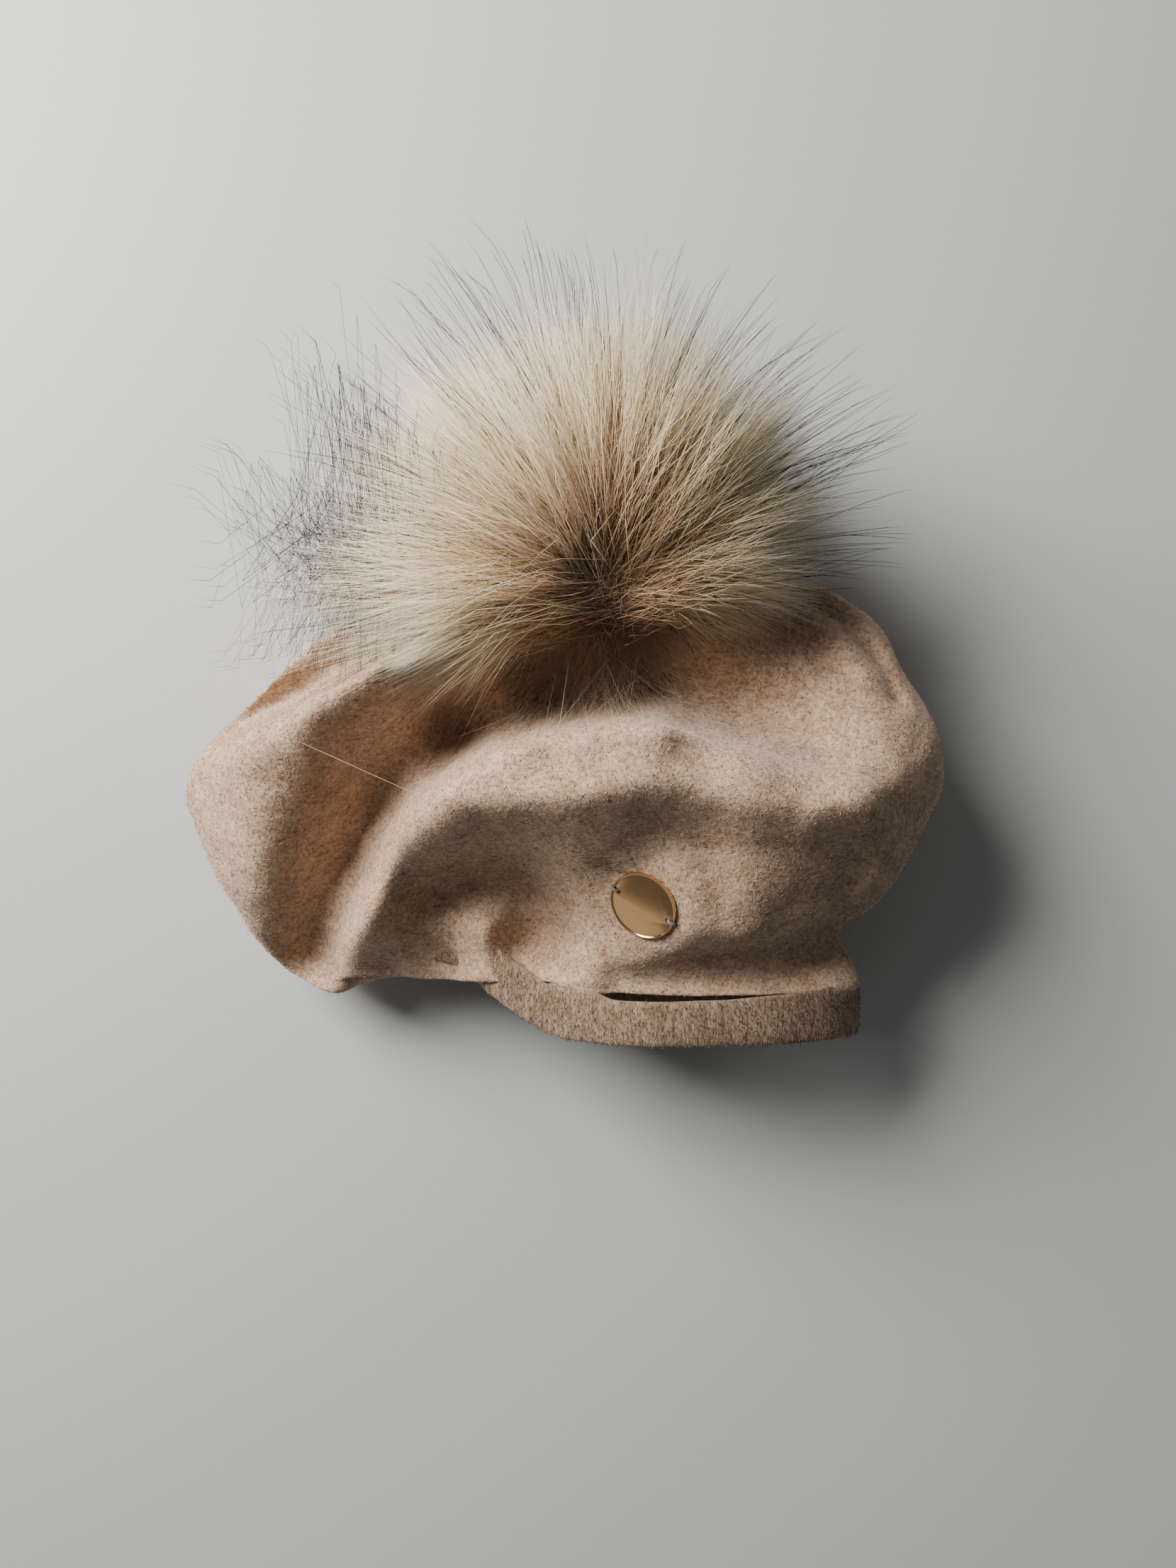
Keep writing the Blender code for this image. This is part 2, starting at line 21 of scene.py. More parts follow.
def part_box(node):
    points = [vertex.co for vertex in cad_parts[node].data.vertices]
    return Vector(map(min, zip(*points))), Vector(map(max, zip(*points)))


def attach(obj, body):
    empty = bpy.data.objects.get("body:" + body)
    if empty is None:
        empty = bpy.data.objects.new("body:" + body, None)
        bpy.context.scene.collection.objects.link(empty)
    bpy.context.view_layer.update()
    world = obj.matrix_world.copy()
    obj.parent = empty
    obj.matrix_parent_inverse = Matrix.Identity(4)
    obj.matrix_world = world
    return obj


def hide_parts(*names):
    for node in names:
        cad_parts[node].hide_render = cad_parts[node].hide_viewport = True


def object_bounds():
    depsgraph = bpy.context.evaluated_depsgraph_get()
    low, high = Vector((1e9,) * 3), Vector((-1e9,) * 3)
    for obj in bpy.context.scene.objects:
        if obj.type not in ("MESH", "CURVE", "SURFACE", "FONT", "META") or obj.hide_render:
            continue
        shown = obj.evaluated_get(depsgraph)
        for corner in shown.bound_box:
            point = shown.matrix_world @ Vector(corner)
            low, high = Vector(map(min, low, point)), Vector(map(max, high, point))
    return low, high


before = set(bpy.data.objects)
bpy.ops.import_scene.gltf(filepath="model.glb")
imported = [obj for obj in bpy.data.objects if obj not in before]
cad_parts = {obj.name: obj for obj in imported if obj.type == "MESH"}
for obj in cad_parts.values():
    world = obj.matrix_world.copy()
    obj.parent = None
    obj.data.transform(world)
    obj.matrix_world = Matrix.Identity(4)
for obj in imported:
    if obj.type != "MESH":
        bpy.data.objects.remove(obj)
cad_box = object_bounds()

MM = 0.001
OFF_TABLE = 0.1 * MM
BODY = "root"
Colour = tuple[float, float, float]

logging.basicConfig(level=logging.INFO, format="%(name)s: %(message)s")
LOG = logging.getLogger("beret")


class Slot(Enum):
    """Material slots of the record."""

    FELT = "felt"
    BAND_FELT = "band_felt"
    FUR = "fur"
    BADGE_METAL = "badge_metal"


class Mark(Enum):
    """Values that the strands carry to their material."""

    ALONG = "along"
    TONE = "tone"


class Value:
    """A number socket that takes part in plain arithmetic."""

    def __init__(self, graph: "Graph", socket: bpy.types.NodeSocket) -> None:
        """Keeps the socket and the graph that new nodes go in."""
        self.graph = graph
        self.socket = socket

    def _math(self, operation: str, *terms: Any) -> "Value":
        """Adds a Math node on numbers or values, in the order of its sockets."""
        node = self.graph.node("ShaderNodeMath", {"operation": operation}, dict(enumerate(terms)))
        return Value(self.graph, node.outputs[0])

    def __add__(self, other: Any) -> "Value":
        """Sum."""
        return self._math("ADD", self, other)

    def __radd__(self, other: Any) -> "Value":
        """Sum with a number on the left."""
        return self._math("ADD", other, self)

    def __sub__(self, other: Any) -> "Value":
        """Difference."""
        return self._math("SUBTRACT", self, other)

    def __rsub__(self, other: Any) -> "Value":
        """Difference from a number."""
        return self._math("SUBTRACT", other, self)

    def __mul__(self, other: Any) -> "Value":
        """Product."""
        return self._math("MULTIPLY", self, other)

    def __rmul__(self, other: Any) -> "Value":
        """Product with a number on the left."""
        return self._math("MULTIPLY", other, self)

    def clamped(self) -> "Value":
        """The value kept between 0 and 1."""
        node = self.graph.node("ShaderNodeClamp", {}, {"Value": self})
        return Value(self.graph, node.outputs[0])


class Graph:
    """A material under construction."""

    def __init__(self, name: str) -> None:
        """Starts a named material with its Principled shader."""
        self.material = bpy.data.materials.new(name)
        self.material.use_nodes = True
        self.nodes = self.material.node_tree.nodes
        self.links = self.material.node_tree.links
        self.shader = self.nodes["Principled BSDF"]

    def feed(self, socket: bpy.types.NodeSocket, value: Any) -> None:
        """Links a value to a socket, or sets the socket to it.

        Args:
            socket: Socket to feed.
            value: A Value, another socket, a number or a colour.
        """
        if isinstance(value, Value):
            value = value.socket
        if isinstance(value, bpy.types.NodeSocket):
            self.links.new(value, socket)
        elif socket.type == "RGBA" and len(value) == 3:
            socket.default_value = (*value, 1.0)
        else:
            socket.default_value = value

    def node(self, kind: str, settings: dict[str, Any], inputs: dict[Any, Any]) -> bpy.types.Node:
        """Adds a node of any type.

        Args:
            kind: Type of the node.
            settings: Its properties, set first; stops are those of a colour ramp.
            inputs: Values or links of its sockets, by name or number.

        Returns:
            The node.
        """
        node = self.nodes.new(kind)
        for key, value in settings.items():
            if key == "stops":
                self._set_stops(node.color_ramp, value)
            else:
                setattr(node, key, value)
        for key, value in inputs.items():
            self.feed(node.inputs[key], value)
        return node

    def _set_stops(self, ramp: bpy.types.ColorRamp, stops: Sequence[tuple[float, Colour]]) -> None:
        """Sets the position and the colour of each stop of a colour ramp."""
        while len(ramp.elements) < len(stops):
            ramp.elements.new(0.5)
        for element, (position, colour) in zip(ramp.elements, stops):
            element.position = position
            element.color = (*colour, 1.0)

    def place(self) -> bpy.types.NodeSocket:
        """Object coordinates."""
        return self.node("ShaderNodeTexCoord", {}, {}).outputs["Object"]

    def stretched(self, scale: Sequence[float]) -> bpy.types.NodeSocket:
        """Object coordinates with each axis scaled."""
        mapping = self.node("ShaderNodeMapping", {}, {"Vector": self.place(), "Scale": tuple(scale)})
        return mapping.outputs[0]

    def noise(self, place: Any, size: float, detail: float = 2.0, distortion: float = 0.0) -> Value:
        """Soft noise.

        Args:
            place: Coordinates to read.
            size: Size of its blots, in metres.
            detail: Levels of finer noise on it.
            distortion: How far its blots are drawn out of shape.

        Returns:
            The noise, about 0.5 in the middle.
        """
        inputs = {"Vector": place, "Scale": 1.0 / size, "Detail": detail, "Distortion": distortion}
        return Value(self, self.node("ShaderNodeTexNoise", {}, inputs).outputs[0])

    def mark(self, mark: Mark) -> Value:
        """A value that the mesh carries."""
        node = self.node("ShaderNodeAttribute", {"attribute_name": mark.value}, {})
        return Value(self, node.outputs["Fac"])

    def ramp(self, value: Value, stops: Sequence[tuple[float, Colour]]) -> bpy.types.NodeSocket:
        """Colours laid along a value from 0 to 1, by the position and colour of each stop."""
        return self.node("ShaderNodeValToRGB", {"stops": stops}, {"Fac": value}).outputs[0]

    def mix(self, share: Any, first: Any, second: Any) -> bpy.types.NodeSocket:
        """Mixes two colours by a share of the second."""
        inputs = {0: share, 6: first, 7: second}
        return self.node("ShaderNodeMix", {"data_type": "RGBA"}, inputs).outputs[2]

    def bump(self, height: Value, distance: float, strength: float) -> bpy.types.NodeSocket:
        """Normal of a relief whose height of 1 stands for a distance in metres."""
        inputs = {"Height": height, "Distance": distance, "Strength": strength}
        return self.node("ShaderNodeBump", {}, inputs).outputs[0]

    def finish(self, values: dict[str, Any]) -> bpy.types.Material:
        """Feeds the shader's sockets and gives the material back."""
        for key, value in values.items():
            self.feed(self.shader.inputs[key], value)
        return self.material


@dataclass(frozen=True)
class FeltFinish:
    """Heathered wool felt: light and dark fibres in tufts, with a soft sheen."""

    name: str
    dark: Colour = (0.205, 0.124, 0.078)
    middle: Colour = (0.470, 0.320, 0.220)
    light: Colour = (0.680, 0.500, 0.360)
    tuft: float = 1.5 * MM
    patch: float = 7.0 * MM
    cloud: float = 42.0 * MM
    relief: float = 0.55 * MM
    stretch: tuple[float, float, float] = (1.0, 1.0, 1.0)

    def material(self) -> bpy.types.Material:
        """Builds the material."""
        graph = Graph(self.name)
        place = graph.stretched(self.stretch)
        tuft = graph.noise(place, self.tuft, 3.0, 0.8)
        patch = graph.noise(place, self.patch, 2.0, 0.6)
        cloud = graph.noise(graph.place(), self.cloud)
        blend = tuft * 0.62 + patch * 0.26 + cloud * 0.12
        sharp = ((blend - 0.5) * 2.6 + 0.5).clamped()
        colour = graph.ramp(sharp, ((0.0, self.dark), (0.5, self.middle), (1.0, self.light)))
        return graph.finish({
            "Base Color": colour,
            "Roughness": 0.92,
            "Sheen Weight": 0.35,
            "Sheen Roughness": 0.45,
            "Sheen Tint": (0.95, 0.86, 0.76),
            "Specular IOR Level": 0.15,
            "Normal": graph.bump(tuft + patch * 0.5, self.relief, 0.7),
        })


@dataclass(frozen=True)
class NapFinish:
    """Single felt fibres, each of its own tone."""

    name: str
    dark: Colour = (0.215, 0.132, 0.083)
    middle: Colour = (0.500, 0.345, 0.240)
    light: Colour = (0.740, 0.565, 0.420)

    def material(self) -> bpy.types.Material:
        """Builds the material."""
        graph = Graph(self.name)
        stops = ((0.0, self.dark), (0.55, self.middle), (1.0, self.light))
        return graph.finish({
            "Base Color": graph.ramp(graph.mark(Mark.TONE), stops),
            "Roughness": 0.85,
            "Specular IOR Level": 0.2,
        })


@dataclass(frozen=True)
class FurFinish:
    """Fur whose colour runs along each hair and differs a little from hair to hair.

    Attributes:
        name: Name of the material.
        plain: Stops along a hair of tone 0.
        warm: Stops along a hair of tone 1.
        gloss: Roughness.
        sheen: Weight of the soft light along the edges of the hairs.
    """

    name: str
    plain: tuple[tuple[float, Colour], ...]
    warm: tuple[tuple[float, Colour], ...]
    gloss: float = 0.62
    sheen: float = 0.5

    def material(self) -> bpy.types.Material:
        """Builds the material."""
        graph = Graph(self.name)
        along = graph.mark(Mark.ALONG)
        stops = graph.ramp(along, self.plain), graph.ramp(along, self.warm)
        colour = graph.mix(graph.mark(Mark.TONE), *stops)
        return graph.finish({
            "Base Color": colour,
            "Roughness": self.gloss,
            "Specular IOR Level": 0.25,
            "Sheen Weight": self.sheen,
            "Sheen Roughness": 0.35,
            "Sheen Tint": (1.0, 0.95, 0.86),
        })


@dataclass(frozen=True)
class MetalFinish:
    """Polished plated metal with faint rubbing marks."""

    name: str
    colour: Colour = (1.00, 0.61, 0.29)
    roughness: float = 0.10

    def material(self) -> bpy.types.Material:
        """Builds the material."""
        graph = Graph(self.name)
        rubbing = graph.noise(graph.stretched((1.0, 0.25, 1.0)), 0.8 * MM, 4.0)
        blot = graph.noise(graph.place(), 9.0 * MM)
        darker = tuple(0.82 * part for part in self.colour)
        return graph.finish({
            "Base Color": graph.mix(blot, self.colour, darker),
            "Metallic": 1.0,
            "Roughness": self.roughness + rubbing * 0.08,
            "Normal": graph.bump(rubbing, 0.02 * MM, 0.15),
        })


@dataclass(frozen=True)
class ThreadFinish:
    """Twisted sewing thread."""

    name: str
    colour: Colour = (0.085, 0.082, 0.080)

    def material(self) -> bpy.types.Material:
        """Builds the material."""
        graph = Graph(self.name)
        ply = graph.noise(graph.place(), 0.35 * MM, 1.0)
        lighter = tuple(2.2 * part for part in self.colour)
        return graph.finish({
            "Base Color": graph.mix(ply, self.colour, lighter),
            "Roughness": 0.7,
            "Normal": graph.bump(ply, 0.1 * MM, 0.6),
        })


@dataclass(frozen=True)
class TableFinish:
    """Pale table top with a fine grain."""

    name: str
    colour: Colour = (0.520, 0.536, 0.530)
    grain: float = 0.9 * MM

    def material(self) -> bpy.types.Material:
        """Builds the material."""
        graph = Graph(self.name)
        grain = graph.noise(graph.place(), self.grain, 3.0)
        darker = tuple(0.93 * part for part in self.colour)
        return graph.finish({
            "Base Color": graph.mix(grain, self.colour, darker),
            "Roughness": 0.55,
            "Specular IOR Level": 0.3,
            "Normal": graph.bump(grain, 0.12 * MM, 0.5),
        })


def soften(share: np.ndarray) -> np.ndarray:
    """Smooth step from 0 to 1."""
    share = np.clip(share, 0.0, 1.0)
    return share * share * (3.0 - 2.0 * share)


def unit(vectors: np.ndarray) -> np.ndarray:
    """Vectors scaled to a length of 1."""
    return vectors / np.maximum(np.linalg.norm(vectors, axis=-1, keepdims=True), 1e-9)


def present(piece: bpy.types.Object, material: bpy.types.Material) -> bpy.types.Object:
    """Dresses a finished piece, ties it to the frame and reports it.

    Args:
        piece: Finished object.
        material: Its material.

    Returns:
        The piece.
    """
    piece.data.materials.clear()
    piece.data.materials.append(material)
    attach(piece, BODY)
    triangles = sum(len(polygon.vertices) - 2 for polygon in piece.data.polygons)
    LOG.info("%s has %d triangles", piece.name, triangles)
    return piece


def as_object(mesh: bmesh.types.BMesh, name: str) -> bpy.types.Object:
    """Turns a bmesh into an object of the scene, shaded smooth."""
    for face in mesh.faces:
        face.smooth = True
    data = bpy.data.meshes.new(name)
    mesh.to_mesh(data)
    mesh.free()
    thing = bpy.data.objects.new(name, data)
    bpy.context.scene.collection.objects.link(thing)
    return thing


def node_copy(node: str) -> bmesh.types.BMesh:
    """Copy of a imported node's mesh with its doubles merged and its faces paired to quads."""
    mesh = bmesh.new()
    mesh.from_mesh(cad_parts[node].data)
    bmesh.ops.remove_doubles(mesh, verts=mesh.verts, dist=0.001 * MM)
    bmesh.ops.join_triangles(
        mesh, faces=mesh.faces, angle_face_threshold=math.radians(60),
        angle_shape_threshold=math.radians(70),
    )
    return mesh


def subdivided(thing: bpy.types.Object, levels: int) -> bpy.types.Object:
    """Applies some levels of subdivision surface to an object and gives it back."""
    smoother = thing.modifiers.new("smoother", "SUBSURF")
    smoother.levels = smoother.render_levels = levels
    done = bpy.data.meshes.new_from_object(thing.evaluated_get(bpy.context.evaluated_depsgraph_get()))
    thing.modifiers.clear()
    thing.data = done
    return thing


def vertex_places(thing: bpy.types.Object) -> np.ndarray:
    """Places of an object's vertices."""
    places = np.empty(len(thing.data.vertices) * 3)
    thing.data.vertices.foreach_get("co", places)
    return places.reshape(-1, 3)


def wrinkles(places: np.ndarray, size: float, seed: int) -> np.ndarray:
    """Soft wandering waves through space, about -1 to 1.

    Args:
        places: Points.
        size: Length of a wave.
        seed: Seed of their directions.

    Returns:
        Height at each point.
    """
    chance = np.random.default_rng(seed)
    total = np.zeros(len(places))
    for _ in range(7):
        direction = unit(chance.normal(size=3))
        length = size * chance.uniform(0.7, 1.6)
        total += np.sin(places @ direction * (2 * math.pi / length) + chance.uniform(0, 2 * math.pi))
    return total / 4.0


def surface_tree(thing: bpy.types.Object) -> BVHTree:
    """Search tree over an object's mesh."""
    mesh = bmesh.new()
    mesh.from_mesh(thing.data)
    tree = BVHTree.FromBMesh(mesh)
    mesh.free()
    return tree


@dataclass(frozen=True)
class Fold:
    """A soft stroke along a run of points that raises or sinks the felt of the upper side.

    Attributes:
        rise: How far the felt rises, or sinks where it is less than zero.
        breadth: How far to each side it fades out.
        points: Points in plan.
    """

    rise: float
    breadth: float
    points: tuple[tuple[float, float], ...]

    def lift(self, places: np.ndarray) -> np.ndarray:
        """How far the felt rises at each point."""
        nearest = np.full(len(places), np.inf)
        points = np.array(self.points) * MM
        for start, end in zip(points, points[1:]):
            run = end - start
            share = np.clip((places[:, :2] - start) @ run / (run @ run), 0.0, 1.0)
            away = np.linalg.norm(places[:, :2] - start - share[:, None] * run, axis=1)
            nearest = np.minimum(nearest, away)
        return self.rise * np.exp(-((nearest / self.breadth) ** 2))


# Folds that sharpen those of the solid, with their points in plan mm
CROWN_FOLDS = (
    # valley behind the crest, and hollow before it
    Fold(
        -12.0 * MM, 13.0 * MM,
        ((-102, -72), (-94, -54), (-83, -30), (-70, 0), (-44, 21), (-8, 36), (22, 41)),
    ),
    Fold(-16.0 * MM, 15.0 * MM, ((-52, -72), (-44, -46), (-31, -37), (-15, -38), (-8, -54))),
    Fold(-8.0 * MM, 11.0 * MM, ((-38, -66), (-22, -66), (-6, -64))),
    # crest, and the flat before its edge
    Fold(
        6.0 * MM, 8.0 * MM,
        ((-80, -66), (-70, -48), (-60, -30), (-47, -10), (-22, 9), (4, 20), (34, 21)),
    ),
    Fold(5.0 * MM, 9.0 * MM, ((34, 21), (60, 8), (84, -4), (102, -8))),
    Fold(
        8.0 * MM, 9.0 * MM,
        ((-42, -22), (-30, -10), (-16, -6), (6, -4), (30, -1), (56, -4), (82, -13)),
    ),
    # left ridge and the crease behind it
    Fold(3.0 * MM, 9.0 * MM, ((-122, 6), (-100, 16), (-80, 24), (-58, 32), (-34, 42))),
    Fold(-7.0 * MM, 5.5 * MM, ((-124, 24), (-98, 37), (-72, 48), (-52, 55))),
    # fall of the front at the right, down to the headband
    Fold(-7.0 * MM, 9.0 * MM, ((22, -75), (52, -73), (80, -69), (100, -60))),
    Fold(-7.0 * MM, 12.0 * MM, ((80, -48), (92, -42), (102, -34))),
    Fold(-7.0 * MM, 10.0 * MM, ((-96, -68), (-82, -70), (-68, -70))),
    # bulge at the right and the dip behind it
    Fold(6.0 * MM, 12.0 * MM, ((98, -8), (110, -16), (118, -28))),
    Fold(-6.0 * MM, 13.0 * MM, ((50, 32), (74, 22), (92, 12))),
    # crease at the rear right
    Fold(-3.4 * MM, 3.6 * MM, ((70, 73), (93, 68), (107, 58), (118, 42), (121, 30))),
    Fold(1.6 * MM, 4.0 * MM, ((66, 66), (88, 60), (100, 51), (110, 38))),
)


@dataclass
class FeltShell:
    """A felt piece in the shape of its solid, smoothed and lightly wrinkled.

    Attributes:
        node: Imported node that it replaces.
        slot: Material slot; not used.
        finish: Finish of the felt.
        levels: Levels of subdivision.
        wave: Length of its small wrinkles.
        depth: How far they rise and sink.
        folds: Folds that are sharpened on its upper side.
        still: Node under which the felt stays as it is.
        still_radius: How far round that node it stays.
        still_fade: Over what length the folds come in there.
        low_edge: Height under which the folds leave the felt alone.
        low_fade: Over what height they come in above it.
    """

    node: str
    slot: Slot
    finish: FeltFinish
    levels: int = 2
    wave: float = 26.0 * MM
    depth: float = 0.55 * MM
    folds: tuple[Fold, ...] = ()
    still: str = "badge"
    still_radius: float = 15.0 * MM
    still_fade: float = 12.0 * MM
    low_edge: float = 22.0 * MM
    low_fade: float = 20.0 * MM

    def sharpen(self, places: np.ndarray) -> np.ndarray:
        """How far each vertex rises, so that both faces of the felt take the folds alike."""
        low, high = (np.array(corner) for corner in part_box(self.still))
        away = np.linalg.norm(places[:, :2] - (low + high)[:2] / 2, axis=1)
        free = soften((away - self.still_radius) / self.still_fade)
        free = free * soften((places[:, 2] - self.low_edge) / self.low_fade)
        return sum((fold.lift(places) for fold in self.folds), np.zeros(len(places))) * free

    def build(self) -> bpy.types.Object:
        """Builds the piece and ties it to the frame."""
        piece = subdivided(as_object(node_copy(self.node), self.node + "_felt"), self.levels)
        places = vertex_places(piece)
        normals = np.empty(len(places) * 3)
        piece.data.vertices.foreach_get("normal", normals)
        heights = wrinkles(places, self.wave, 11) + 0.5 * wrinkles(places, self.wave * 0.45, 12)
        lift = self.depth * heights * soften(places[:, 2] / (6 * MM))
        places += normals.reshape(-1, 3) * lift[:, None]
        places[:, 2] += self.sharpen(places)
        piece.data.vertices.foreach_set("co", places.ravel())
        piece.data.update()
        present(piece, self.finish.material())
        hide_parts(self.node)
        return piece


@dataclass(frozen=True)
class Tuck:
    """Draws the edge of a piece into the seam that it shares with another.

    Attributes:
        reach: How far from the other piece the seam is felt.
        shift: How far the edge moves.
        sink: How far its faces sink at the seam.
    """

    reach: float
    shift: tuple[float, float, float]
    sink: float

    def apply(self, piece: bpy.types.Object, other: BVHTree) -> None:
        """Moves the edge of a piece where the other's surface is near."""
        for vertex in piece.data.vertices:
            place, _, _, distance = other.find_nearest(vertex.co, self.reach)
            if place is None:
                continue
            share = float(soften(np.array(1.0 - distance / self.reach)))
            vertex.co += share * (Vector(self.shift) - vertex.normal * self.sink)


BAND_TUCK = Tuck(6.0 * MM, (0.0, 3.6 * MM, 0.8 * MM), 0.2 * MM)
CROWN_TUCK = Tuck(3.0 * MM, (0.0, -1.0 * MM, -0.2 * MM), 0.1 * MM)


@dataclass
class Strands:
    """Many tapering strands in one mesh, drawn out of small triangles station by station.

    Attributes:
        name: Name of the piece.
        paths: Points of each strand, from root to tip.
        radii: Radius of each strand at each point but the tip.
        tones: Tone of each strand.
        seed: Seed of how each strand is turned about itself.
    """

    name: str
    paths: np.ndarray
    radii: np.ndarray
    tones: np.ndarray
    seed: int = 1

    def corners(self) -> np.ndarray:
        """Corners of each strand's sections, by strand, point, corner and axis."""
        chance = np.random.default_rng(self.seed)
        run = unit(np.gradient(self.paths, axis=1))[:, :-1]
        aside = chance.normal(size=(len(self.paths), 1, 3))
        first = unit(np.cross(run, np.broadcast_to(aside, run.shape)))
        second = np.cross(run, first)
        angles = np.radians((0.0, 120.0, 240.0))[:, None]
        ring = np.cos(angles) * first[:, :, None] + np.sin(angles) * second[:, :, None]
        return self.paths[:, :-1, None] + self.radii[:, :, None, None] * ring

    def build(self) -> bpy.types.Object:
        """Draws the strands out into one object."""
        count, stations = self.radii.shape
        mesh = bmesh.new()
        bmesh.ops.create_grid(mesh, x_segments=(count + 1) // 2 + 1, y_segments=1, size=1.0)
        bmesh.ops.triangulate(mesh, faces=mesh.faces)
        bmesh.ops.split_edges(mesh, edges=mesh.edges)
        bmesh.ops.delete(mesh, geom=list(mesh.faces)[count:], context="FACES")
        along = mesh.verts.layers.float.new(Mark.ALONG.value)
        tone = mesh.verts.layers.float.new(Mark.TONE.value)
        corners = self.corners().tolist()
        faces = list(mesh.faces)
        for station in range(stations):
            if station:
                faces = bmesh.ops.extrude_discrete_faces(mesh, faces=faces)["faces"]
            share = station / stations
            for face, strand, shade in zip(faces, corners, self.tones.tolist()):
                for vertex, corner in zip(face.verts, strand[station]):
                    vertex.co = corner
                    vertex[along] = share
                    vertex[tone] = shade
        tips = bmesh.ops.poke(mesh, faces=faces)["verts"]
        for vertex, tip, shade in zip(tips, self.paths[:, -1].tolist(), self.tones.tolist()):
            vertex.co = tip
            vertex[along] = 1.0
            vertex[tone] = shade
        bmesh.ops.holes_fill(mesh, edges=[edge for edge in mesh.edges if edge.is_boundary], sides=3)
        bmesh.ops.recalc_face_normals(mesh, faces=mesh.faces)
        return as_object(mesh, self.name)


@dataclass
class Nap:
    """Short fibres that stand and lie on the felt, wherever it is seen from outside.

    Attributes:
        name: Name of the piece.
        slot: Material slot; not used.
        finish: Finish of the fibres.
        count: Number of fibres.
        length: Shortest and longest fibre.
        width: Thickness at the root.
        combed: Direction that the fibres lean in, as a share of their length.
        raised: Share of the length that they stand up by.
        sunk: How far their roots sit in the felt.
        seed: Seed of chance.
    """

    name: str
    slot: Slot
    finish: NapFinish
    count: int
    length: tuple[float, float] = (1.1 * MM, 2.4 * MM)
    width: float = 0.24 * MM
    combed: tuple[float, float, float] = (0.0, 0.0, 0.0)
    raised: float = 0.30
    sunk: float = 0.15 * MM
    seed: int = 5

    def roots(self, own: BVHTree, others: Sequence[BVHTree]) -> tuple[np.ndarray, np.ndarray]:
        """Finds places on the felt that rays from outside reach.

        Args:
            own: Felt that the fibres grow on.
            others: Pieces that may hide it.

        Returns:
            Places and normals.
        """
        chance = np.random.default_rng(self.seed)
        low, high = (np.array(corner) for corner in cad_box)
        middle, reach = (low + high) / 2, np.linalg.norm(high - low) / 2
        places, normals = [], []
        while len(places) < self.count:
            toward = unit(chance.normal(size=3))
            if toward[2] < -0.1:
                continue
            toward[2] += chance.choice((0.0, 1.6))
            toward = Vector(unit(toward))
            aim = Vector(chance.uniform(low, high))
            start = Vector(middle) + toward * 2 * reach + (aim - Vector(middle))
            hit = own.ray_cast(start, -toward)
            if hit[0] is None:
                continue
            if any((other.ray_cast(start, -toward)[3] or 9.0) < hit[3] for other in others):
                continue
            places.append(hit[0])
            normals.append(hit[1])
        return np.array(places), np.array(normals)

    def build(self, own: BVHTree, others: Sequence[BVHTree]) -> bpy.types.Object:
        """Grows the fibres on their own felt, where the others don't hide it."""
        places, normals = self.roots(own, others)
        chance = np.random.default_rng(self.seed + 1)
        lying = chance.normal(size=places.shape) + np.array(self.combed)
        lying = unit(lying - (lying * normals).sum(1, keepdims=True) * normals)
        rising = np.abs(chance.normal(self.raised, 0.22, size=(self.count, 1)))
        length = chance.uniform(*self.length, size=(self.count, 1))
        tips = places + (unit(lying + normals * rising)) * length
        starts = places - normals * self.sunk
        tips[:, 2] = np.maximum(tips[:, 2], OFF_TABLE)
        paths = np.stack([starts, tips], axis=1)
        radii = np.full((self.count, 1), self.width / 2) * chance.uniform(0.6, 1.3, size=(self.count, 1))
        tones = chance.beta(1.6, 1.9, size=self.count)
        return present(Strands(self.name, paths, radii, tones).build(), self.finish.material())


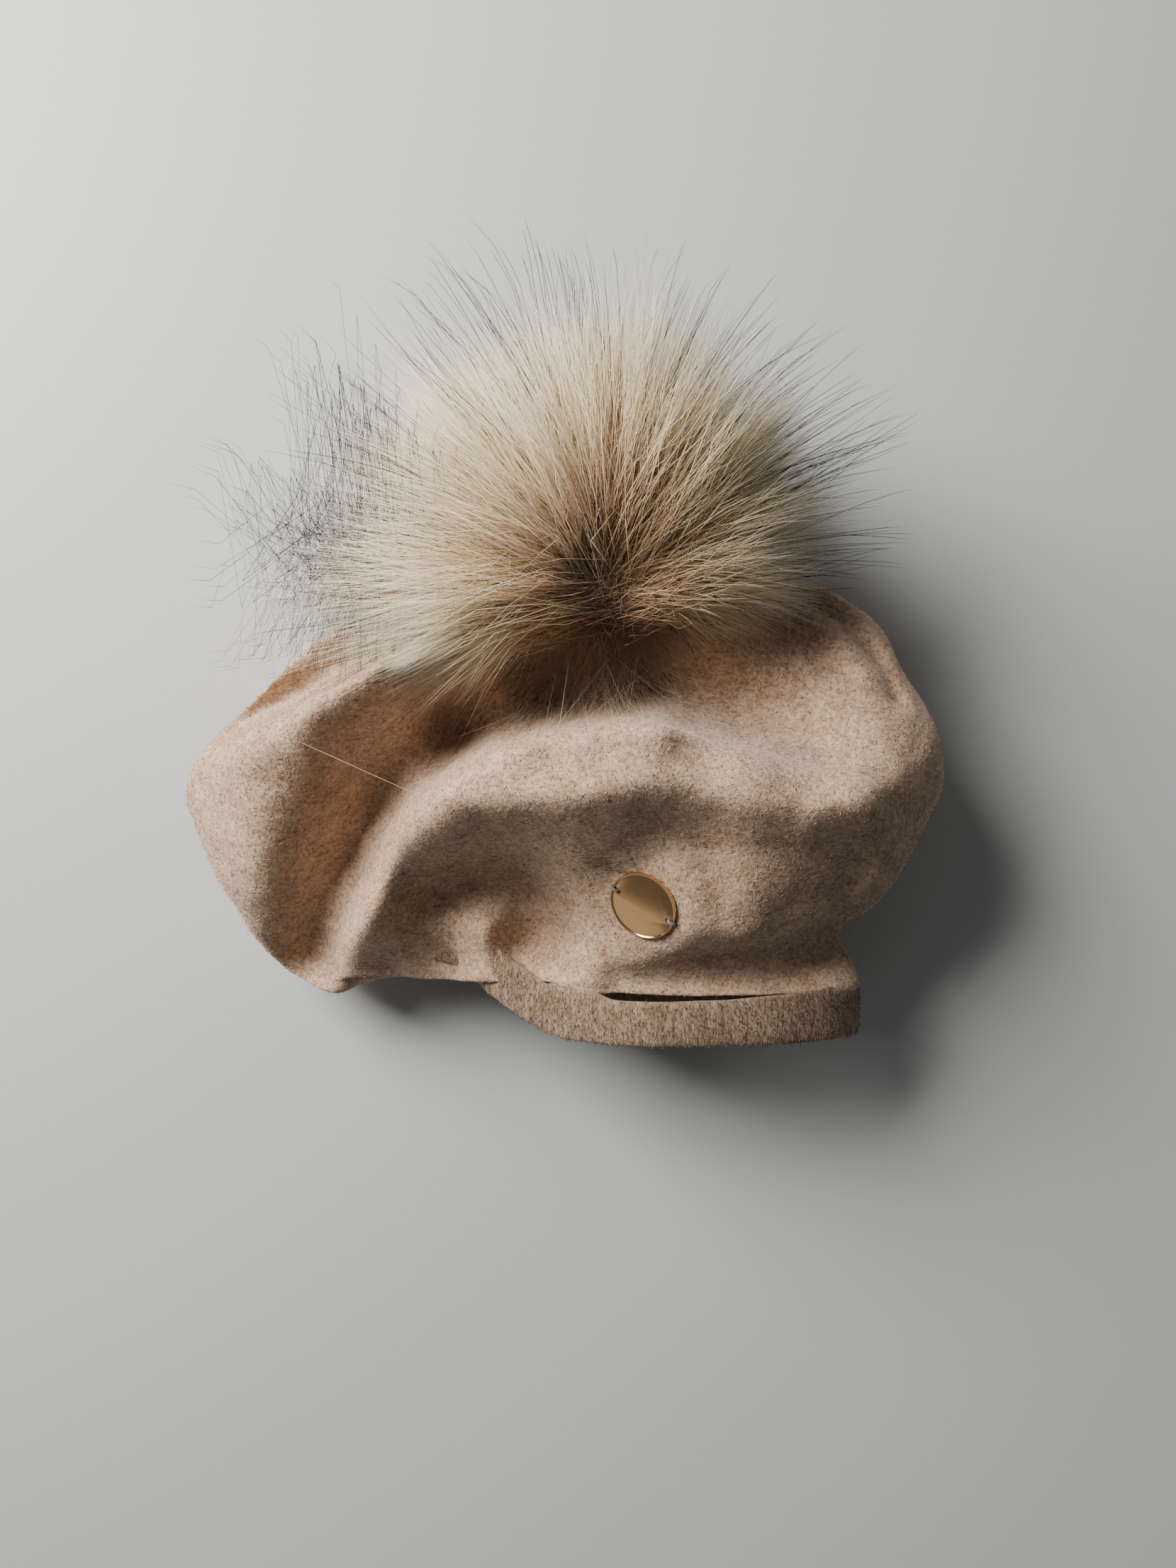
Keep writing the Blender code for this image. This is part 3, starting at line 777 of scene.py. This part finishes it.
@dataclass
class Pompom:
    """Fur pompom, combed from its parting to all sides in layers.

    A hair is laid by the direction that it goes in, seen from above, and by its layer: 1 is the
    top of the fur, 0 its middle and -1 the fur that hangs behind the crown.

    Attributes:
        place: Its place on the crown, as shares of half the crown's width and depth.
        lean: Direction that it leans away from the crown in.
        head: Radius of the knot that the fur grows on.
        parting: Where the fur parts, seen from the knot's middle.
        half_width: Half the crown's width.
        half_depth: Half the crown's depth.
        swell: Height of the top layer over the parting.
        hang: Depth of the lowest layer under it.
        droop: How far the fur sinks at its tips.
        rim: Where hairs that reach far back start to be drawn in.
        drawing_in: How strongly they are, as a share of what lies beyond it.
        locks: Number of locks that the underfur gathers in.
        gathering: How closely it gathers in them at its tips.
        lock_bend: How far the locks bend at their tips.
        stray: How far each hair strays from its lock at its tip.
        wave: How far each hair waves on its way.
        rooting: How far apart the hairs grow round the parting.
        thickness: Radius of an underfur hair at each station but the tip.
        seed: Seed of the locks.
    """

    place: tuple[float, float] = (0.12, 0.84)
    lean: tuple[float, float, float] = (0.0, 0.62, 0.78)
    head: float = 21.0 * MM
    parting: tuple[float, float, float] = (0.0, -19.0 * MM, -6.0 * MM)
    half_width: float = 143.0 * MM
    half_depth: float = 83.0 * MM
    swell: float = 74.0 * MM
    hang: float = 88.0 * MM
    droop: float = 32.0 * MM
    rim: float = 168.0 * MM
    drawing_in: float = 0.4
    locks: int = 520
    gathering: float = 0.24
    lock_bend: float = 4.5 * MM
    stray: float = 3.6 * MM
    wave: float = 2.3 * MM
    rooting: float = 4.2 * MM
    thickness: tuple[float, float, float] = (0.11 * MM, 0.12 * MM, 0.085 * MM)
    seed: int = 21

    # How far the fur reaches from the parting, seen from above
    REACH = (
        # direction in degrees, underfur mm, guard hairs mm, swell of the top layer in percent
        (0, 66, 84, 40),
        (20, 80, 114, 46),
        (40, 92, 122, 62),
        (60, 100, 118, 84),
        (80, 103, 120, 100),
        (100, 104, 129, 100),
        (120, 103, 133, 100),
        (141, 102, 140, 96),
        (160, 101, 142, 92),
        (180, 104, 142, 86),
        (192, 104, 134, 74),
        (199, 82, 110, 60),
        (206, 60, 76, 50),
        (216, 40, 50, 42),
        (270, 32, 36, 36),
        (318, 32, 38, 36),
        (340, 34, 44, 36),
        (350, 46, 60, 38),
    )

    def __post_init__(self) -> None:
        """Finds the knot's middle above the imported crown, and the parting."""
        self.tree = surface_tree(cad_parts["crown"])
        above = Vector((self.place[0] * self.half_width, self.place[1] * self.half_depth, 0.5))
        foot = self.tree.ray_cast(above, Vector((0, 0, -1)))[0]
        leaning = Vector(self.lean).normalized()
        gap = self.head + 0.3 * MM
        centre = foot + leaning * gap
        for _ in range(12):
            centre += leaning * (gap - self.tree.find_nearest(centre)[3])
        self.root = np.array(centre) + np.array(self.parting)
        LOG.info("the fur parts at %s mm", np.round(self.root / MM, 1).tolist())

    def reach(self, turns: np.ndarray, column: int) -> np.ndarray:
        """Reads a column of REACH, in metres, for directions in degrees."""
        rows = np.array(self.REACH, float)
        return np.interp(turns % 360.0, rows[:, 0], rows[:, column], period=360.0) * MM

    def lay(
        self, turns: np.ndarray, layers: np.ndarray, reach: np.ndarray, shares: np.ndarray
    ) -> np.ndarray:
        """Lays hairs out from the parting.

        Args:
            turns: Direction of each hair at each station, in degrees.
            layers: Layer of each hair at each station.
            reach: How far each hair goes, seen from above.
            shares: Share of the way at each station.

        Returns:
            Points by hair and station.
        """
        angles = np.radians(turns)
        top = np.clip(layers, 0.0, 1.0)
        out = reach[:, None] * shares * (1.0 - 0.24 * top**2) + 5.0 * MM
        swell = self.swell * self.reach(turns, 3) / MM / 100.0
        height = np.where(layers > 0, swell, self.hang) * layers * (1.6 - 0.8 * shares) * shares
        height -= self.droop * shares**2 * (1.0 - 0.45 * top)
        flat = [out * np.cos(angles), out * np.sin(angles), height]
        return np.stack(flat, axis=-1) + self.root

    def settle(self, paths: np.ndarray, clearance: np.ndarray) -> np.ndarray:
        """Draws in hairs that reach far back, and lifts points that would lie in the felt or the table.

        Args:
            paths: Points of each strand.
            clearance: How far each strand stays off them.

        Returns:
            The points.
        """
        paths[..., 1] -= self.drawing_in * np.maximum(paths[..., 1] - self.rim, 0.0)
        down = Vector((0, 0, -1))
        for path, gap in zip(paths, clearance):
            for point in path[1:]:
                top = self.tree.ray_cast(Vector((point[0], point[1], 0.5)), down)[0]
                floor = (top.z if top is not None else 0.0) + gap
                point[2] = max(point[2], floor)
        return paths

    def underfur(self, name: str, count: int, part: tuple[float, float], seed: int) -> Strands:
        """Soft dense fur of a part of the pompom.

        Args:
            name: Name of the piece.
            count: Number of hairs.
            part: First and last direction of the part, in degrees.
            seed: Seed of chance.

        Returns:
            The strands.
        """
        locks = np.random.default_rng(self.seed)
        lock_turns = locks.uniform(0.0, 360.0, self.locks)
        lock_layers = locks.uniform(-1.0, 1.0, self.locks)
        lock_bends = locks.normal(size=(self.locks, 3)) * self.lock_bend
        lock_lengths = locks.uniform(0.88, 1.08, self.locks)
        chance = np.random.default_rng(seed)
        turns = chance.uniform(*part, count)
        layers = np.clip(chance.triangular(-1.0, 0.35, 1.0, count), -1.0, 1.0)
        turn_gaps = np.abs((turns[:, None] - lock_turns + 180.0) % 360.0 - 180.0) / 60.0
        nearest = np.argmin(turn_gaps**2 + (layers[:, None] - lock_layers) ** 2, axis=1)
        stations = 4
        shares = np.broadcast_to(np.linspace(0.0, 1.0, stations), (count, stations))
        pull = self.gathering * shares**1.4
        toward = (lock_turns[nearest] - turns + 180.0) % 360.0 - 180.0
        way = turns[:, None] + toward[:, None] * pull
        level = layers[:, None] + (lock_layers[nearest] - layers)[:, None] * pull
        own = chance.triangular(0.46, 0.94, 1.20, count)
        way = way + chance.normal(0.0, 3.6, size=(count, 1)) * shares**2
        paths = self.lay(way, level, self.reach(turns, 1) * lock_lengths[nearest] * own, shares)
        loose = chance.normal(size=(count, 1, 3)) * self.stray
        paths += (lock_bends[nearest][:, None] + loose) * (shares**2)[..., None]
        wave = chance.normal(size=(count, 1, 3)) * self.wave
        paths += wave * np.sin(shares * math.pi * 1.6)[..., None]
        paths += chance.normal(size=(count, 1, 3)) * self.rooting * ((1.0 - shares) ** 2)[..., None]
        paths = self.settle(paths, chance.uniform(0.6, 4.0, size=count) * MM)
        radii = chance.uniform(0.7, 1.25, size=(count, 1)) * np.array(self.thickness)
        tones = np.clip(chance.normal(0.34, 0.20, size=count), 0.0, 1.0)
        return Strands(name, paths, radii, tones, seed)

    def skirt(self, name: str, count: int, seed: int) -> Strands:
        """Thin short fur that spreads from the parting over the felt.

        Args:
            name: Name of the piece.
            count: Number of hairs.
            seed: Seed of chance.

        Returns:
            The strands.
        """
        chance = np.random.default_rng(seed)
        turns = chance.uniform(188.0, 362.0, count)
        stations = 5
        shares = np.broadcast_to(np.linspace(0.0, 1.0, stations), (count, stations))
        length = chance.triangular(12.0, 26.0, 58.0, count) * MM
        length *= 1.0 + 0.35 * np.cos(np.radians(turns - 215.0))
        curl = chance.normal(size=(count, 1)) * 26.0
        paths = self.lay(turns[:, None] + curl * shares, np.full(shares.shape, -0.9), length, shares)
        paths += chance.normal(size=(count, 1, 3)) * 2.2 * MM * (shares**1.5)[..., None]
        paths += chance.normal(size=(count, 1, 3)) * 4.0 * MM * ((1.0 - shares) ** 2)[..., None]
        paths = self.settle(paths, chance.triangular(0.4, 0.8, 5.5, size=count) * MM)
        radii = chance.uniform(0.045, 0.085, size=(count, 1)) * MM * np.linspace(1.0, 0.7, stations - 1)
        tones = chance.uniform(0.0, 1.0, size=count)
        return Strands(name, paths, radii, tones, seed)


PALE_FUR = (
    (0.00, (0.300, 0.180, 0.090)),
    (0.12, (0.480, 0.300, 0.155)),
    (0.30, (0.740, 0.510, 0.290)),
    (0.50, (0.900, 0.705, 0.450)),
    (0.72, (0.980, 0.860, 0.620)),
    (1.00, (0.990, 0.900, 0.690)),
)
WARM_FUR = (
    (0.00, (0.220, 0.130, 0.062)),
    (0.16, (0.380, 0.230, 0.115)),
    (0.40, (0.640, 0.420, 0.225)),
    (0.65, (0.850, 0.640, 0.385)),
    (0.85, (0.940, 0.780, 0.530)),
    (1.00, (0.960, 0.830, 0.600)),
)
GUARD_PLAIN = (
    (0.00, (0.420, 0.290, 0.180)),
    (0.42, (0.420, 0.280, 0.160)),
    (0.58, (0.130, 0.080, 0.048)),
    (0.76, (0.022, 0.018, 0.016)),
    (1.00, (0.008, 0.008, 0.009)),
)
GUARD_DARK = (
    (0.00, (0.240, 0.155, 0.095)),
    (0.36, (0.200, 0.118, 0.062)),
    (0.54, (0.060, 0.036, 0.023)),
    (0.72, (0.012, 0.010, 0.010)),
    (1.00, (0.006, 0.006, 0.007)),
)
SKIRT_PALE = (
    (0.00, (0.360, 0.225, 0.120)),
    (0.40, (0.620, 0.430, 0.265)),
    (1.00, (0.820, 0.660, 0.470)),
)
SKIRT_DARK = (
    (0.00, (0.240, 0.145, 0.078)),
    (0.50, (0.420, 0.280, 0.170)),
    (1.00, (0.600, 0.430, 0.280)),
)
LOOSE_BROWN = (
    (0.00, (0.120, 0.072, 0.044)),
    (1.00, (0.045, 0.032, 0.026)),
)


@dataclass
class GuardHairs:
    """Long curved hairs with dark tips that stand out of the underfur, many of them in wisps.

    Attributes:
        pompom: Pompom that they grow from.
        loose: Number of hairs that stand alone.
        stations: Points along a hair.
        fan: Spread of a wisp's hairs in direction, in degrees.
        sway: How far a hair waves on its way.
        thickness: Radius of the thinnest and the thickest hair at the root.
        seed: Seed of chance.
    """

    pompom: Pompom
    loose: int = 170
    stations: int = 13
    fan: float = 2.9
    sway: float = 1.7 * MM
    thickness: tuple[float, float] = (0.12 * MM, 0.21 * MM)
    seed: int = 77

    # Wisps of hairs that bend the same way
    WISPS = (
        # direction in degrees, layer, reach, hairs, sideways bend mm
        (196, -0.20, 0.98, 20, -12),
        (190, 0.05, 1.02, 24, -10),
        (181, 0.15, 1.00, 22, -14),
        (172, 0.20, 0.92, 14, -12),
        (165, 0.25, 1.02, 24, -16),
        (152, 0.35, 0.96, 16, -18),
        (146, 0.40, 1.04, 24, -24),
        (133, 0.45, 0.94, 14, -14),
        (118, 0.40, 1.00, 18, 16),
        (109, 0.45, 1.02, 26, 18),
        (101, 0.40, 1.04, 22, -10),
        (90, 0.50, 0.98, 16, 12),
        (78, 0.45, 1.00, 24, -16),
        (67, 0.45, 0.98, 18, -20),
        (57, 0.35, 1.02, 26, -24),
        (46, 0.35, 0.98, 16, -16),
        (37, 0.30, 1.02, 24, -22),
        (27, 0.20, 1.04, 14, 16),
        (15, 0.10, 1.00, 20, -12),
        (4, 0.00, 1.00, 12, 8),
    )

    def build(self) -> Strands:
        """Lays the hairs out."""
        chance = np.random.default_rng(self.seed)
        turns, layers, reaches, bends = [], [], [], []
        for turn, layer, reach, hairs, sideways in self.WISPS:
            turns.append(chance.normal(turn, self.fan, hairs))
            layers.append(chance.normal(layer, 0.16, hairs))
            reaches.append(reach * chance.uniform(0.70, 1.06, hairs))
            bends.append(sideways * chance.uniform(0.5, 1.1, hairs))
        turns.append(chance.uniform(-20.0, 215.0, self.loose))
        layers.append(chance.uniform(-0.4, 0.85, self.loose))
        reaches.append(chance.uniform(0.62, 0.98, self.loose))
        bends.append(chance.normal(0.0, 12.0, self.loose))
        turns, layers = np.concatenate(turns), np.concatenate(layers)
        reach, bends = np.concatenate(reaches), np.concatenate(bends) * MM
        count = len(turns)
        shares = np.broadcast_to(np.linspace(0.0, 1.0, self.stations), (count, self.stations))
        full = self.pompom.reach(turns, 2) * reach
        even = np.broadcast_to(turns[:, None], shares.shape)
        paths = self.pompom.lay(even, np.broadcast_to(layers[:, None], shares.shape), full, shares)
        angles = np.radians(turns)
        aside = np.stack([-np.sin(angles), np.cos(angles), np.zeros(count)], axis=1)
        paths += aside[:, None] * bends[:, None, None] * (shares**2 - 0.3 * shares)[..., None]
        rise = chance.normal(4.0, 7.0, size=(count, 1)) * MM
        paths[..., 2] += rise * shares**2
        sway = chance.normal(size=(count, 1, 3)) * self.sway
        paths += sway * np.sin(shares * math.pi * chance.uniform(0.8, 1.5, size=(count, 1)))[..., None]
        paths = self.pompom.settle(paths, chance.uniform(0.8, 5.0, size=count) * MM)
        taper = np.linspace(1.0, 0.5, self.stations - 1)
        radii = chance.uniform(*self.thickness, size=(count, 1)) * taper
        tones = chance.uniform(0.0, 1.0, size=count)
        return Strands("guard_hairs", paths, radii, tones, self.seed)


@dataclass
class LooseHairs:
    """Single long hairs that lie on the felt.

    Attributes:
        pompom: Pompom that they came from.
        lie: How far they lie off the felt.
        radius: Radius of a hair.
        stations: Points along a hair.
    """

    pompom: Pompom
    lie: float = 0.9 * MM
    radius: float = 0.065 * MM
    stations: int = 14

    # Points in plan mm
    RUNS = (
        ((-4, 20), (2, -9), (5, -22), (12, -28), (26, -31)),
        ((22, 30), (33, -4), (34, -17), (31, -26), (27, -30)),
        ((19, -18), (24, -23), (28, -31)),
        ((-22, 44), (-30, 26), (-42, 2)),
        ((-40, 38), (-58, 20), (-66, 14)),
        ((30, 52), (44, 34), (40, 12)),
        ((-8, 40), (-14, 12), (-30, -8), (-33, -20)),
        ((52, 50), (74, 46), (92, 30)),
    )

    def build(self) -> Strands:
        """Lays the hairs out along their runs."""
        through = np.polynomial.polynomial.Polynomial.fit
        even = np.linspace(0.0, 1.0, self.stations)
        paths = []
        for run in self.RUNS:
            points = np.array(run, float) * MM
            knots = np.linspace(0.0, 1.0, len(points))
            plan = [through(knots, points[:, axis], len(points) - 1)(even) for axis in (0, 1)]
            paths.append(np.stack([*plan, np.zeros(self.stations)], axis=1))
        paths = np.array(paths)
        down = Vector((0, 0, -1))
        for path in paths:
            for point in path:
                top = self.pompom.tree.ray_cast(Vector((point[0], point[1], 0.5)), down)[0]
                point[2] = (top.z if top is not None else 0.0) + self.lie
        radii = np.full((len(paths), self.stations - 1), self.radius)
        tones = np.linspace(0.0, 1.0, len(paths))
        return Strands("loose_hairs", paths, radii, tones, 3)


@dataclass
class Badge:
    """Round badge with a raised rim, held by a stitch of thread through each of its two holes.

    Attributes:
        node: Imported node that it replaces.
        diameter: Diameter of the disc.
        thickness: Thickness of the disc.
        rim: Width of the rim.
        rise: Height of the rim over the face.
        hole: Diameter of a hole.
        margin: Felt side of a hole to the rim.
        turn: How far the line through the holes is turned.
        slope: Slope of the felt under it along X and Y.
        sides: Sides of the disc.
        thread: Radius of the thread.
    """

    node: str = "badge"
    diameter: float = 25.0 * MM
    thickness: float = 1.0 * MM
    rim: float = 0.9 * MM
    rise: float = 0.4 * MM
    hole: float = 1.9 * MM
    margin: float = 1.6 * MM
    turn: float = math.radians(-19.0)
    slope: tuple[float, float] = (0.60, 0.42)
    sides: int = 96
    thread: float = 0.36 * MM

    def seat(self) -> Matrix:
        """Place and turn of the badge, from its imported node."""
        low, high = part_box(self.node)
        normal = Vector((-self.slope[0], -self.slope[1], 1.0)).normalized()
        across = Vector((math.cos(self.turn), math.sin(self.turn), 0.0))
        across = (across - normal * across.dot(normal)).normalized()
        turn = Matrix((across, normal.cross(across), normal)).transposed().to_4x4()
        return Matrix.Translation((low + high) / 2) @ turn

    def disc(self) -> bpy.types.Object:
        """Disc with its rim, and the holes cut through."""
        radius = self.diameter / 2
        mesh = bmesh.new()
        bmesh.ops.create_cone(
            mesh, cap_ends=True, segments=self.sides, radius1=radius, radius2=radius, depth=self.thickness
        )
        top = max(mesh.faces, key=lambda face: face.calc_center_median().z)
        bmesh.ops.inset_individual(mesh, faces=[top], thickness=self.rim * 0.55)
        bmesh.ops.inset_individual(mesh, faces=[top], thickness=self.rim * 0.45, depth=-self.rise)
        sharp = [edge for edge in mesh.edges if edge.calc_face_angle(0.0) > math.radians(30)]
        bmesh.ops.bevel(
            mesh, geom=sharp, offset=0.12 * MM, segments=2, profile=0.5, affect="EDGES", material=-1
        )
        piece = as_object(mesh, "badge_disc")
        drills = []
        for side in (-1, 1):
            drill = bmesh.new()
            bmesh.ops.create_cone(
                drill, cap_ends=True, segments=24, radius1=self.hole / 2, radius2=self.hole / 2,
                depth=4 * self.thickness,
            )
            reach = radius - self.rim - self.margin
            bmesh.ops.translate(drill, verts=drill.verts, vec=(side * reach, 0, 0))
            drills.append(as_object(drill, "badge_drill"))
            cut = piece.modifiers.new("hole", "BOOLEAN")
            cut.operation, cut.object = "DIFFERENCE", drills[-1]
        depsgraph = bpy.context.evaluated_depsgraph_get()
        piece.data = bpy.data.meshes.new_from_object(piece.evaluated_get(depsgraph))
        piece.modifiers.clear()
        for drill in drills:
            bpy.data.objects.remove(drill)
        piece.data.set_sharp_from_angle(angle=math.radians(32))
        piece.data.transform(self.seat())
        return piece

    def stitches(self) -> bpy.types.Object:
        """Two turns of thread from each hole over the rim."""
        mesh = bmesh.new()
        radius = self.diameter / 2
        inner = radius - self.rim - self.margin
        outer = radius + 0.5 * MM
        middle, span = (inner + outer) / 2, (outer - inner) / 2
        for side in (-1, 1):
            for shift in (-0.34, 0.34):
                ring = bmesh.ops.create_circle(mesh, segments=8, radius=self.thread)["verts"]
                slant = Matrix.Rotation(math.radians(shift * 24), 3, "Z")
                bmesh.ops.rotate(mesh, verts=ring, matrix=slant)
                bmesh.ops.translate(mesh, verts=ring, vec=(side * inner, shift * MM, -0.6 * MM))
                edges = list({edge for vertex in ring for edge in vertex.link_edges})
                bmesh.ops.spin(
                    mesh, geom=ring + edges, cent=(side * middle, shift * MM, -0.6 * MM), axis=(0, side, 0),
                    angle=math.radians(180), steps=14,
                )
        heights = [vertex for vertex in mesh.verts if vertex.co.z > 0]
        bmesh.ops.scale(mesh, verts=heights, vec=(1.0, 1.0, 1.25 * self.thickness / span))
        bmesh.ops.holes_fill(mesh, edges=[edge for edge in mesh.edges if edge.is_boundary], sides=8)
        bmesh.ops.recalc_face_normals(mesh, faces=mesh.faces)
        bmesh.ops.transform(mesh, verts=mesh.verts, matrix=self.seat())
        return as_object(mesh, "badge_stitches")

    def build(self) -> None:
        """Builds the disc and its stitches."""
        disc = present(self.disc(), MetalFinish("polished_badge").material())
        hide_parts(self.node)
        present(self.stitches(), ThreadFinish("grey_thread").material())


@dataclass(frozen=True)
class Studio:
    """Table, light and camera.

    Attributes:
        view: Place of the camera, which looks straight down.
        spread: Width of what it sees over its distance.
        sensor: Width of the camera's sensor, in millimetres.
        window: Direction of the large soft light.
        distance: How far off the lights hang.
        window_size: Width of the window.
        window_power: Power of the window.
        card_size: Width of the card.
        card_power: Power of the card.
        card_share: How far the card's middle is from the mirrored sight, as a share of its size.
        sky: Colour of the room's light.
        sky_strength: Strength of the room's light.
    """

    view: tuple[float, float, float] = (0.0108, 0.0, 0.487)
    spread: float = 2 * 0.4992
    sensor: float = 24.0
    window: tuple[float, float, float] = (-0.62, 0.50, 0.60)
    distance: float = 1.10
    window_size: float = 0.60
    window_power: float = 32.0
    card_size: float = 0.36
    card_power: float = 0.15
    card_share: float = 0.48
    sky: Colour = (0.86, 0.87, 0.88)
    sky_strength: float = 0.13

    def table(self) -> None:
        """Lays the table top."""
        mesh = bmesh.new()
        bmesh.ops.create_grid(mesh, x_segments=2, y_segments=2, size=3.0)
        top = as_object(mesh, "table_top")
        top.data.materials.append(TableFinish("pale_table").material())

    def lamp(self, name: str, place: Vector, toward: Vector) -> bpy.types.AreaLight:
        """Hangs a square light that the camera doesn't see, with its back toward a direction."""
        lamp = bpy.data.lights.new(name, "AREA")
        lamp.shape = "SQUARE"
        holder = bpy.data.objects.new(name, lamp)
        holder.location = place
        holder.rotation_euler = toward.to_track_quat("Z", "Y").to_euler()
        holder.visible_camera = False
        bpy.context.scene.collection.objects.link(holder)
        return lamp

    def light(self) -> None:
        """Hangs the window light and sets the light of the room."""
        toward = Vector(self.window).normalized()
        lamp = self.lamp("window_light", toward * self.distance, toward)
        lamp.size, lamp.energy, lamp.color = self.window_size, self.window_power, (1.0, 0.97, 0.93)
        world = bpy.data.worlds.new("room_light")
        world.use_nodes = True
        ground = world.node_tree.nodes["Background"]
        ground.inputs["Color"].default_value = (*self.sky, 1.0)
        ground.inputs["Strength"].default_value = self.sky_strength
        bpy.context.scene.world = world

    def card(self, seat: Matrix) -> None:
        """Hangs a faint card where the camera sees it mirrored in a flat piece that faces Z."""
        normal = (seat.to_3x3() @ Vector((0, 0, 1))).normalized()
        sight = (seat.translation - Vector(self.view)).normalized()
        toward = sight - 2 * sight.dot(normal) * normal
        up = (Vector((0, 0, 1)) - toward * toward.z).normalized()
        place = seat.translation + toward * self.distance + up * self.card_size * self.card_share
        lamp = self.lamp("card_light", place, toward)
        lamp.size, lamp.energy, lamp.color = self.card_size, self.card_power, (1.0, 0.96, 0.90)

    def camera(self) -> None:
        """Sets the camera straight above."""
        lens = bpy.data.cameras.new("camera")
        lens.sensor_fit, lens.sensor_width = "HORIZONTAL", self.sensor
        lens.lens = self.sensor / self.spread
        lens.clip_start, lens.clip_end = 0.01, 20.0
        holder = bpy.data.objects.new("camera", lens)
        holder.location = self.view
        bpy.context.scene.collection.objects.link(holder)
        bpy.context.scene.camera = holder

    def build(self, mirror: Matrix) -> None:
        """Sets up table, light and camera, and the card for a mirroring piece."""
        self.table()
        self.light()
        self.card(mirror)
        self.camera()


# Tones of the headband's denser felt, made darker than the crown's as painted shade for the shade under the
# crown's overhang; in which order its finishes take them: dark, middle, light
BAND_TONES_WITH_PAINTED_SHADE = ((0.105, 0.064, 0.041), (0.255, 0.174, 0.120), (0.400, 0.290, 0.208))
RIBS = (1.5, 0.2, 1.0)
COMBED_DOWN = (0.0, -1.6, 0.0)
CROWN_FIBRES, BAND_FIBRES, SKIRT_HAIRS = 36000, 7000, 1500
UNDERFUR = (
    # name, hairs, first and last direction in degrees, seed
    ("underfur_right", 8500, (-13.0, 55.0), 30),
    ("underfur_back", 11500, (55.0, 130.0), 31),
    ("underfur_left", 11500, (130.0, 207.0), 32),
)


def main() -> None:
    """Builds the beret and its setting."""
    Studio().build(Badge().seat())
    crown = FeltShell("crown", Slot.FELT, FeltFinish("crown_felt"), folds=CROWN_FOLDS).build()
    # the headband's felt takes tones darkened as painted shade
    band = FeltShell(
        "headband", Slot.BAND_FELT, FeltFinish("headband_felt", *BAND_TONES_WITH_PAINTED_SHADE, stretch=RIBS),
        depth=0.2 * MM,
    ).build()
    trees = surface_tree(crown), surface_tree(band)
    BAND_TUCK.apply(band, trees[0])
    CROWN_TUCK.apply(crown, trees[1])
    trees = surface_tree(crown), surface_tree(band)
    Nap("crown_nap", Slot.FELT, NapFinish("crown_fibres"), CROWN_FIBRES).build(trees[0], trees[1:])
    # the headband's fibres take the same tones darkened as painted shade
    Nap(
        "headband_nap", Slot.BAND_FELT, NapFinish("headband_fibres", *BAND_TONES_WITH_PAINTED_SHADE), BAND_FIBRES,
        combed=COMBED_DOWN,
    ).build(trees[1], trees[:1])
    pompom = Pompom()
    fur = FurFinish("underfur", PALE_FUR, WARM_FUR).material()
    pieces = [present(pompom.underfur(*row).build(), fur) for row in UNDERFUR]
    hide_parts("pompom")
    skirt = FurFinish("skirt_fur", SKIRT_PALE, SKIRT_DARK).material()
    present(pompom.skirt("skirt_fur", SKIRT_HAIRS, 40).build(), skirt)
    guard = FurFinish("guard_hair", GUARD_PLAIN, GUARD_DARK, 0.45, 0.0).material()
    present(GuardHairs(pompom).build().build(), guard)
    loose = FurFinish("loose_hair", LOOSE_BROWN, LOOSE_BROWN, 0.5, 0.0).material()
    present(LooseHairs(pompom).build().build(), loose)
    Badge().build()


if __name__ == "__main__":
    main()
